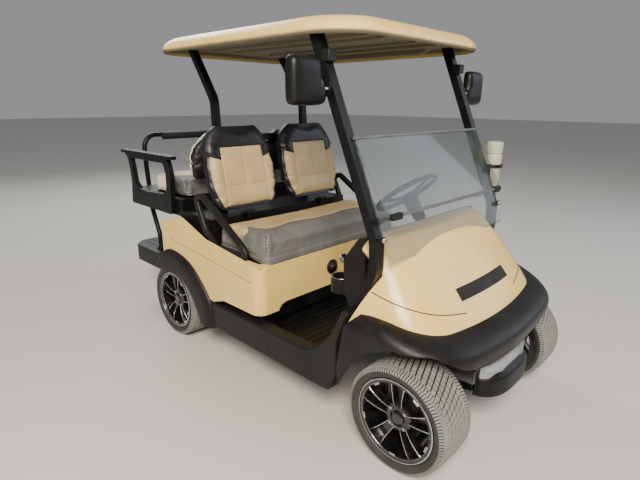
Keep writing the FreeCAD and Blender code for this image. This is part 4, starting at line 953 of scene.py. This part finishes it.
def bench_shape(p):
    """Round corners, a front that stands out over the panel below it, and a skirt that hangs over
    the rim of the deck."""
    p = bench_round(p)
    skirt = clamp((bench_low.z + 0.045 - p.z) / 0.04)
    edge = min(bench_high.x - abs(p.x), p.y - bench_low.y)
    ahead = clamp((bench_low.y + 0.14 - p.y) / 0.1)
    return p - Vector((0, 0.012 * ahead, (0.018 + 0.016 * ahead) * skirt if edge < 0.03 else 0.004 * skirt))


bench = swollen("bench_dressed", "front_cushion", lambda p: p.z < bench_low.z + 0.014, bench_shape)
sewn(bench, bench_pattern)
for vertex in bench.data.vertices:
    vertex.co.x = max(-BENCH_HALF, min(BENCH_HALF, vertex.co.x))
cushion(bench, two_tone_sunlit, "front_cushion", "seat_lid")
print("bench", len(bench.data.polygons), "faces", [round(c, 3) for c in bench.bound_box[6]])

# %% Front seat backs
back_low, back_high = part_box("front_seat_backs")
BACK_MIDDLE, BACK_HALF = 0.27, 0.248
# share of the height, how far the sides lie inside
BACK_INSET = ((0.0, 0.066), (0.08, 0.034), (0.26, 0.006), (0.5, 0.0), (0.72, 0.02),
              (0.86, 0.06), (0.95, 0.094), (1.0, 0.122))
# shares of the height: foot of the black shoulders, the cross seam
SHOULDER_FOOT, CROSS_SEAM = 0.655, 0.285
WIDENED = 0.15                      # how much wider the shoulders get, as a share


def inset_at(share):
    for (a, low), (b, high) in zip(BACK_INSET, BACK_INSET[1:]):
        if share <= b:
            return low + (high - low) * max(share - a, 0) / (b - a)
    return BACK_INSET[-1][1]


def back_pattern(p, n):
    """Tan middle panel and two tan wings on a black bucket; seams where they meet."""
    height = back_high.z - back_low.z
    share = (p.z - back_low.z) / height
    out = abs(p.x - BACK_MIDDLE)
    edge = (BACK_HALF - inset_at(share)) * (1 + WIDENED * clamp((share - 0.62) / 0.27)) - 0.034
    panel = 0.15 - 0.012 * share
    shoulder = (SHOULDER_FOOT - share) * height - 0.3 * (edge - out) - 0.01
    middle_panel = min(panel - out, (0.735 - share) * height)
    wing = min(out - panel, shoulder, edge - out)
    inside = min(max(middle_panel, wing), p.z - back_low.z - 0.022, (-n.y - 0.25) * 0.08)
    if n.y > -0.2:
        return min(inside, -0.01), 0.08, 0.0
    gap = abs(inside)
    if share < SHOULDER_FOOT:
        gap = min(gap, abs(out - panel))
    if middle_panel > 0:
        gap = min(gap, abs(share - CROSS_SEAM) * height)
        if share > CROSS_SEAM:
            gap = min(gap, out)
    wing_rise = 0.01 * clamp((out - panel) / 0.05) * (1 - max(0.0, (share - 0.55) / 0.3))
    return inside, gap, max(0.0, wing_rise)


def back_shape(p):
    """Squarer shoulders than the solid has."""
    share = max(0.0, (p.z - back_low.z) / (back_high.z - back_low.z) - 0.62) / 0.38
    wider = 1 + WIDENED * min(share * 1.4, 1.0)
    return Vector((BACK_MIDDLE + (p.x - BACK_MIDDLE) * wider, p.y, p.z + 0.008 * share))


front_back = swollen("front_back_left", "front_seat_backs", lambda p: p.z < back_low.z + 0.02, back_shape,
                     half=True)
sewn(front_back, back_pattern)
for piece in (front_back, mirrored(front_back, "front_back_right")):
    cushion(piece, back_vinyl_shaded, "front_seat_backs")
print("front seat backs", len(front_back.data.polygons), "faces each")

# %% Rear seat backs and cushion
rear_low, rear_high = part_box("rear_seat_backs")
sofa_low, sofa_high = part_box("rear_cushion")


def rear_back_pattern(p, n):
    inside = (n.y - 0.1) * 0.06
    gap = abs(inside) * 0.8
    if n.y > 0.5:
        seam_z = rear_low.z + 0.3 * (rear_high.z - rear_low.z)
        gap = min(gap, abs(abs(p.x - 0.257) - 0.09), abs(p.z - seam_z))
    return inside, gap, 0.0


def sofa_pattern(p, n):
    inside = p.y - (sofa_low.y + 0.2) - 0.015 * math.cos(abs(p.x) * 14)
    hem = abs(p.z - (sofa_low.z + 0.018))
    return inside, min(abs(inside), hem, abs(p.x) if n.z > 0.4 else 1), 0.0


rear_back = swollen("rear_back_left", "rear_seat_backs", lambda p: p.z < rear_low.z + 0.02, half=True)
sewn(rear_back, rear_back_pattern)
for piece in (rear_back, mirrored(rear_back, "rear_back_right")):
    cushion(piece, rear_vinyl_shaded, "rear_seat_backs")
sofa = swollen("rear_cushion_dressed", "rear_cushion", lambda p: p.z < sofa_low.z + 0.015,
               round_corners(sofa_low, sofa_high, 0.06))
cushion(sewn(sofa, sofa_pattern), pale_vinyl_sunlit, "rear_cushion")
print("rear seat", len(rear_back.data.polygons), "and", len(sofa.data.polygons), "faces")

# %% [markdown]
# Trim that follows a curved panel is laid on the panel itself: each point of its path is snapped
# to the solid, and a thin ribbon is built there, square to the surface.

# %% Ribbons on a surface
def skin(node):
    """The surface of a solid, to be asked where a line meets it."""
    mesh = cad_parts[node].data
    return BVHTree.FromPolygons([v.co for v in mesh.vertices], [p.vertices for p in mesh.polygons])


def from_outside(surface, p, core):
    """Where a line from outside through p towards core meets the surface."""
    way = (Vector(p) - Vector(core)).normalized()
    return surface.ray_cast(Vector(p) + way * 0.2, -way)


def ribbon(name, surface, path, width, proud, sink=0.0006, core=None):
    """Thin strip that lies along path on a surface and stands out from it by proud."""
    spots = [from_outside(surface, p, core) if core else surface.find_nearest(Vector(p)) for p in path]
    rows = []
    for i, (spot, normal, *_) in enumerate(spots):
        before, after = beside(spots, i)
        along = (after[0] - before[0]).normalized()
        side = along.cross(normal).normalized() * width / 2
        out, deep = normal * proud, normal * -sink
        rows.append([spot - side + deep, spot - side + out * 0.6, spot - side * 0.9 + out,
                     spot + side * 0.9 + out, spot + side + out * 0.6, spot + side + deep])
    return mesh_object(name, *grid(rows, around=True, capped=True), smooth=False)


# %% Cowl lines and the bare plate
# the groove on the near side: x, y, z of five places on it
COWL_GROOVE = ((-0.521, -0.939, 0.701), (-0.498, -1.035, 0.672), (-0.43, -1.134, 0.64),
               (-0.333, -1.184, 0.616), (-0.225, -1.211, 0.598))
PLATE_HALF, PLATE_Z = 0.214, 0.659
cowl_skin = skin("front_cowl")
# the groove is a narrow strip of painted shadow on the cowl
groove = ribbon("cowl_groove", cowl_skin, spread(COWL_GROOVE, even(60)), 0.0046, 0.0008, 0.002,
                core=(0, -0.95, 0.5))
fitted(both_sides(groove), gap_shadow_paint)
plate_x = [(2 * share - 1) * PLATE_HALF for share in even(41)]
plate_path = [cowl_skin.ray_cast(Vector((x, -1.6, PLATE_Z)), Vector((0, 1, 0)))[0] for x in plate_x]
fitted(ribbon("cowl_plate", cowl_skin, plate_path, 0.057, 0.0036, 0.004), bare_plate)
rim_path = [p + Vector((0, -0.0002, 0)) for p in plate_path]
fitted(ribbon("cowl_plate_rim", cowl_skin, rim_path, 0.06, 0.0016, 0.004), plated)
# the side crease is a strip of the same painted shadow
crease_path = [(0.6, 0.54 - 0.846 * share, 0.628 - 0.077 * share) for share in even(30)]
fitted(both_sides(ribbon("side_crease", skin("rear_body"), crease_path, 0.0028, 0.0004)), gap_shadow_paint)
print("cowl plate from", plate_path[0], "to", plate_path[-1])

# %% [markdown]
# The band over each rear wheel is one moulding that swells out of the body and turns in at the
# wheel. It is drawn as sections: each goes from the body edge, over a rounded crown, to the lip.

# %% Rear wheel flares
# y and height of the edge on the body, then of the lip at the wheel
FLARE = ((0.093, 0.188, 0.215, 0.188), (0.098, 0.232, 0.236, 0.232), (0.112, 0.3, 0.256, 0.268),
         (0.135, 0.354, 0.28, 0.305), (0.198, 0.426, 0.322, 0.354), (0.293, 0.503, 0.388, 0.397),
         (0.398, 0.545, 0.462, 0.417), (0.52, 0.56, 0.56, 0.418), (0.6, 0.54, 0.622, 0.41),
         (0.652, 0.498, 0.656, 0.406), (0.687, 0.44, 0.679, 0.404))
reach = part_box("rear_fenders")[1].x - body_half
# share of the way from the body edge to the lip, share of the reach
CROWN = ((0.0, 0.02), (0.01, 0.3), (0.05, 0.52), (0.13, 0.74), (0.27, 0.91), (0.45, 0.985), (0.65, 1.0),
         (0.85, 0.985), (0.96, 0.93), (1.0, 0.8), (0.99, 0.62), (0.93, 0.52), (0.6, 0.52), (0.2, 0.4),
         (0.1, 0.12), (0.05, 0.02))
rows = [[(body_half + reach * rise, low_y + (lip_y - low_y) * share, low_z + (lip_z - low_z) * share)
         for share, rise in CROWN] for low_y, low_z, lip_y, lip_z in spread(FLARE, even(90))]
flare = mesh_object("flare_dressed", *grid(rows, around=True, capped=True))
fitted(both_sides(split(flare, 60)), grained, "grained_plastic", "rear_fenders")
print("flare", len(rows), "sections,", round(reach, 3), "m proud of the body")

# %% Arm rails
# The rail is a flattened tube, 37 mm wide seen from the side and almost as thick as the solid.
RAIL_X, RAIL_THICK, RAIL_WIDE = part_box("arm_rails")[1].x - 0.016, 0.031, 0.037
# y and z of its corners
RAIL = ((-0.25, 0.656), (0.19, 0.932), (0.25, 0.908), (0.17, 0.742), (0.062, 0.668))


def rounded_loop(points, corner, steps):
    """A closed path with each corner replaced by an arc of that radius, or by as much as its runs
    allow."""
    path = []
    for i, p in enumerate(points):
        back, ahead = [q - p for q in beside(points, i, True)]
        turn = math.pi - back.angle(ahead)
        reach = min(corner * math.tan(turn / 2), 0.49 * back.length, 0.49 * ahead.length)
        a, b = p + back.normalized() * reach, p + ahead.normalized() * reach
        path += [a.lerp(p, share).lerp(p.lerp(b, share), share) for share in even(steps + 1)]
    return path


path = rounded_loop([Vector((RAIL_X, y, z)) for y, z in RAIL], 0.04, 10)
rows = []
for i, spot in enumerate(path):
    before, after = beside(path, i, True)
    across = Vector((1, 0, 0)).cross((after - before).normalized())
    ring = []
    for step in range(16):
        c, s = math.cos(math.pi * step / 8), math.sin(math.pi * step / 8)
        ring.append(spot + Vector((RAIL_THICK / 2 * math.copysign(abs(c) ** 0.7, c), 0, 0))
                    + across * RAIL_WIDE / 2 * math.copysign(abs(s) ** 0.8, s))
    rows.append(ring)
rail = mesh_object("arm_rail_dressed", *grid(rows, around=True, along=True))
fitted(both_sides(rail), grained, "black_plastic", "arm_rails")
print("rail", len(path), "places long")

# %% [markdown]
# A mirror shell is a shallow bowl: level after level of the same outline, each smaller and
# further forward, and a flat rim behind with the glass let into it. The arm joins its lower inner
# corner, where the outline is drawn in.

# %% Mirrors
mirror_low, mirror_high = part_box("mirrors")
# x and z of the outline, seen from the front, as shares of the shell's width and height
SHELL = ((1.0, 0.14), (1.0, 0.84), (0.95, 0.95), (0.84, 1.0), (0.3, 1.0), (0.2, 0.96), (0.16, 0.86),
         (0.155, 0.55), (0.13, 0.43), (0.03, 0.35), (0.0, 0.28), (0.0, 0.14), (0.03, 0.05), (0.12, 0.0),
         (0.86, 0.0), (0.96, 0.04))
shell_x, shell_wide = 0.54, mirror_high.x - 0.54
shell_z, shell_tall = mirror_low.z, mirror_high.z - mirror_low.z
shell_back, shell_deep = mirror_high.y - 0.001, 0.05
# share of the depth, share of the size
LEVELS = ((0.06, 0.9), (0.0, 0.93), (0.0, 0.97), (0.06, 1.0), (0.35, 1.0), (0.62, 0.96), (0.82, 0.87),
          (0.94, 0.72), (0.99, 0.5), (1.0, 0.22))


def shell_level(depth, size):
    centre_u, centre_v = 0.56, 0.5
    return [Vector((shell_x + shell_wide * (centre_u + (u - centre_u) * size),
                    shell_back - shell_deep * depth,
                    shell_z + shell_tall * (centre_v + (v - centre_v) * size))) for u, v in SHELL]


points, faces = grid([shell_level(depth, size) for depth, size in LEVELS], around=True)
faces.append(tuple(range(len(points) - len(SHELL), len(points))))
shell = mesh_object("mirror_shell", points, faces)
modify(shell, "SUBSURF", levels=2, render_levels=2)
glass = mesh_object("mirror_face", shell_level(0.05, 0.91), [tuple(range(len(SHELL)))], smooth=False)
arm = bar("mirror_arm", (0.518, -0.706, 1.467), (0.56, -0.706, 1.467), 0.011)
clamp_block = block("mirror_clamp", (0.5215, -0.722, 1.439), (0.535, -0.69, 1.495), 0.004)
mirror = joined("mirrors_dressed", [painted(baked(shell), smooth_black), painted(glass, mirror_glass),
                                    painted(arm, plated), painted(clamp_block, steel_black)])
fitted(both_sides(mirror), None, "black_plastic", "mirrors")
print("mirror", len(mirror.data.polygons), "faces")

# %% Windscreen trim, lamps and knobs
PANE_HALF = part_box("windscreen")[1].x
hinge = bar("pane_hinge", (-PANE_HALF, -0.812, 1.286), (PANE_HALF, -0.812, 1.286), 0.0065)
edge_strip = block("pane_strip", (-PANE_HALF + 0.03, -0.994, 0.994), (PANE_HALF - 0.03, -0.981, 1.006))
fitted(joined("pane_trim", [hinge, edge_strip]), strip_grey, "frame_metal")
latch = block("pane_latch", (0.405, -0.999, 0.986), (0.47, -0.978, 1.012), 0.004)
clip = block("strut_clip", (0.477, -0.704, 1.568), (0.523, -0.662, 1.612), 0.005)
fitted(both_sides(joined("latches", [latch, clip])), grip_rubber)
# profiles: along the knob's axis, out from it
STRUT_KNOB = ((0, 0), (0, 0.008), (-0.006, 0.013), (-0.014, 0.014), (-0.019, 0.011), (-0.021, 0))
SELECTOR = ((0, 0), (0, 0.04), (-0.006, 0.042), (-0.01, 0.036), (-0.012, 0.024), (-0.024, 0.021),
            (-0.028, 0.016), (-0.028, 0))
GAUGE = ((0, 0), (0, 0.026), (-0.004, 0.027), (-0.006, 0.023), (-0.004, 0.021), (-0.004, 0))
knob = turned("strut_knob", STRUT_KNOB, Vector((0.5, -0.972, 0.915)), 32, "Y")
fitted(both_sides(knob), plated, "bright_steel")
tail_lens = block("tail_lens", (0.42, 0.688, 0.562), (0.506, 0.694, 0.618), 0.0025)
fitted(both_sides(tail_lens), red_lens, "lens")
fitted(turned("selector_knob", SELECTOR, Vector((-0.055, -0.305, 0.53)), 48, "Y"), grip_rubber)
fitted(turned("charge_gauge", GAUGE, Vector((0.04, -0.305, 0.56)), 48, "Y"), reflector, "bright_steel")
fitted(bar("grab_foam", (-0.3, 1.045, 1.188), (0.3, 1.045, 1.188), 0.023, 8), grip_rubber, "grip_rubber")
# x and z of the left half of the panel below the seat
KICK = ((0.4, 0.424), (0.43, 0.415), (0.448, 0.395), (0.455, 0.352))
kick = plate("seat_kick_panel", [(-x, z) for x, z in reversed(KICK)] + list(KICK), -0.3085, -0.3045, "Y")
fitted(kick, smooth_black)
print("windscreen", round(2 * PANE_HALF, 3), "m wide")

# %% Sand bottle
BOTTLE_X, BOTTLE_Y = 0.567, -0.9
BOTTLE = ((0.0, 0.0), (0.0, 0.03), (0.006, 0.033), (0.19, 0.039), (0.222, 0.04), (0.236, 0.036),
          (0.24, 0.035), (0.241, 0.04), (0.286, 0.042), (0.296, 0.04), (0.3, 0.03), (0.3, 0.0))
RING = ((0.0, 0.044), (0.0, 0.048), (0.016, 0.048), (0.016, 0.044))
bottle = split(turned("bottle_dressed", BOTTLE, Vector((BOTTLE_X, BOTTLE_Y, 0.924)), 48, "Z"), 24)
holder = [turned("bottle_ring", RING, Vector((BOTTLE_X, BOTTLE_Y, z)), 48, "Z") for z in (0.96, 1.09)]
holder.append(block("bottle_stay", (0.5225, -0.906, 0.955), (0.528, -0.894, 1.11)))
pieces = [painted(bottle, bottle_plastic), *[painted(part, steel_black) for part in holder]]
fitted(joined("bottle_dressed", pieces), None, "bottle_plastic", "sand_bottle")

# %% [markdown]
# The deck under the cushion is a black moulding, but its rim is the rolled top edge of the beige
# body. One solid can show both: the colour changes where a point lies near the outline.

# %% The rim of the deck
RIM_X, RIM_Y, RIM_TOP = 0.54, -0.27, 0.655
deck_finish = smooth_black.copy()
deck_finish.name = "deck moulding with a beige rim"
tree = deck_finish.node_tree
spot = add_node(tree, "ShaderNodeSeparateXYZ", {0: place(deck_finish)}).outputs
outside = maths(tree, "GREATER_THAN", maths(tree, "ABSOLUTE", spot["X"]), RIM_X)
either = maths(tree, "MAXIMUM", outside, maths(tree, "LESS_THAN", spot["Y"], RIM_Y))
rim = maths(tree, "MULTIPLY", either, maths(tree, "LESS_THAN", spot["Z"], RIM_TOP))
mixed(deck_finish, rim, linear(BEIGE))
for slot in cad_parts["seat_deck"].material_slots:
    slot.material = deck_finish
print("deck rim outside", RIM_X, "m and ahead of", RIM_Y, "m")

# %% Foot plate ribs, cup rims and sill screws
RIBS, plate_top = 17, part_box("foot_plate")[1].z
rib = block("rib", (-0.004, -0.15, -0.001), (0.004, 0.15, 0.0018), 0.001, 2)
rib_spots = [(-0.36 + 0.72 * share, 1.165, plate_top) for share in even(RIBS)]
fitted(repeat_at("foot_ribs", rib, rib_spots, grip_rubber), grip_rubber, "tread_plate")
CUP_RIM = ((-0.001, 0.0425), (-0.001, 0.0495), (0.0015, 0.049), (0.0025, 0.046), (0.0015, 0.043))
cup_rim = turned("cup_rim", CUP_RIM, Vector((0.41, -0.695, 0.671)), 64, "Z")
fitted(both_sides(cup_rim), plated, "bright_steel")
SCREW = ((0.0014, 0.0), (0.0014, 0.0014), (0.003, 0.0018), (0.0032, 0.0046), (0.0018, 0.0064),
         (-0.002, 0.0068))
# y and height of each screw on one sill
SCREW_SPOTS = ((0.072, 0.3), (0.076, 0.232), (-0.38, 0.25), (-0.8, 0.25))
sill_skin = skin("sills")
spots = [sill_skin.ray_cast(Vector((1.0, y, z)), Vector((-1, 0, 0)))[0] for y, z in SCREW_SPOTS]
screws = repeat_at("sill_screws", turned("screw", SCREW, Vector(), 20), spots, steel_black)
fitted(both_sides(screws), steel_black, "black_steel")
print("ribs", RIBS, "screws at", [tuple(round(c, 3) for c in spot) for spot in spots])

# %% [markdown]
# The bumper is one moulding that bows round the nose. Its face carries four ribs that fade out
# at the ends, and above them it slopes back to the lamps.

# %% Front bumper
# x, and how far ahead of the front axle the face stands, from the middle to one end
NOSE = ((0.0, 0.2385), (0.055, 0.2378), (0.105, 0.2325), (0.148, 0.219), (0.18, 0.197), (0.201, 0.169),
        (0.21, 0.14))
# how far out from that line, and height; the grooves between the ribs lie between the two halves
NOSE_FOOT = ((-0.012, 0.236), (-0.014, 0.2315), (-0.006, 0.2295), (-0.001, 0.2335))
NOSE_TOP = ((-0.001, 0.309), (-0.004, 0.3165), (-0.01, 0.3225), (-0.024, 0.34), (-0.028, 0.3375),
            (-0.02, 0.322), (-0.012, 0.314))
GROOVE_DEEP, GROOVE_FOOT, GROOVE_STEP = 0.0032, 0.24, 0.017
FADE_FROM, FADE_RUN = 0.165, 0.06   # |x| where a groove has run out, and over what length it does
nose_line = spread([(-x, y) for x, y in reversed(NOSE[1:])] + list(NOSE), even(121))
rows = []
for i, (x, ahead) in enumerate(nose_line):
    before, after = beside(nose_line, i)
    along = Vector((after[0] - before[0], before[1] - after[1], 0)).normalized()
    outward = Vector((along.y, -along.x, 0))
    deep = -GROOVE_DEEP * clamp((FADE_FROM - abs(x)) / FADE_RUN)
    face = []
    for foot in [GROOVE_FOOT + GROOVE_STEP * k for k in range(4)]:
        face += [(deep, foot), (deep, foot + 0.005), (0.0, foot + 0.0068), (0.0, foot + 0.015)]
    section = (*NOSE_FOOT, *face, *NOSE_TOP)
    rows.append([Vector((x, station(-ahead), z)) + outward * out for out, z in section])
nose = split(mesh_object("bumper_face", *grid(rows, around=True, capped=True)), 40)
arm = block("bumper_arm", (0.15, station(-0.1585), 0.25), (0.232, station(-0.155), 0.35), 0.001, 2)
fitted(joined("bumper_dressed", [nose, both_sides(arm)]), smooth_black, "black_plastic", "front_bumper")
print("bumper", len(nose_line), "sections from", nose_line[0], "to", nose_line[-1])

# %% Floor and light
def studio():
    corners = [(-40, -40, 0), (40, -40, 0), (40, 40, 0), (-40, 40, 0)]
    floor = mesh_object("studio floor", corners, [(0, 1, 2, 3)])
    painted(floor, new_material("studio floor, pale matt", "#c9c7c2", 0.85))
    world = bpy.data.worlds.new("studio")
    world.use_nodes = True
    background = world.node_tree.nodes["Background"]
    background.inputs["Color"].default_value = linear("#eef1f5")
    background.inputs["Strength"].default_value = 0.34
    bpy.context.scene.world = world
    target = Vector((0, 0, 0.7))
    # name, place, size, watts, colour
    lamps = (("key", (-4.15, -3.8, 4.55), 2.4, 820, "#fff4e6"),
             ("fill", (4.5, -4.2, 3.2), 3.5, 110, "#eaf1ff"),
             ("back", (1.5, 5.5, 4.5), 3.0, 180, "#ffffff"))
    for name, spot, wide, power, colour in lamps:
        data = bpy.data.lights.new(name, "AREA")
        data.size, data.energy, data.color = wide, power, linear(colour)[:3]
        lamp = link(bpy.data.objects.new(name, data))
        aim = (target - Vector(spot)).to_track_quat("-Z", "Y").to_matrix().to_4x4()
        lamp.matrix_world = Matrix.Translation(spot) @ aim


studio()
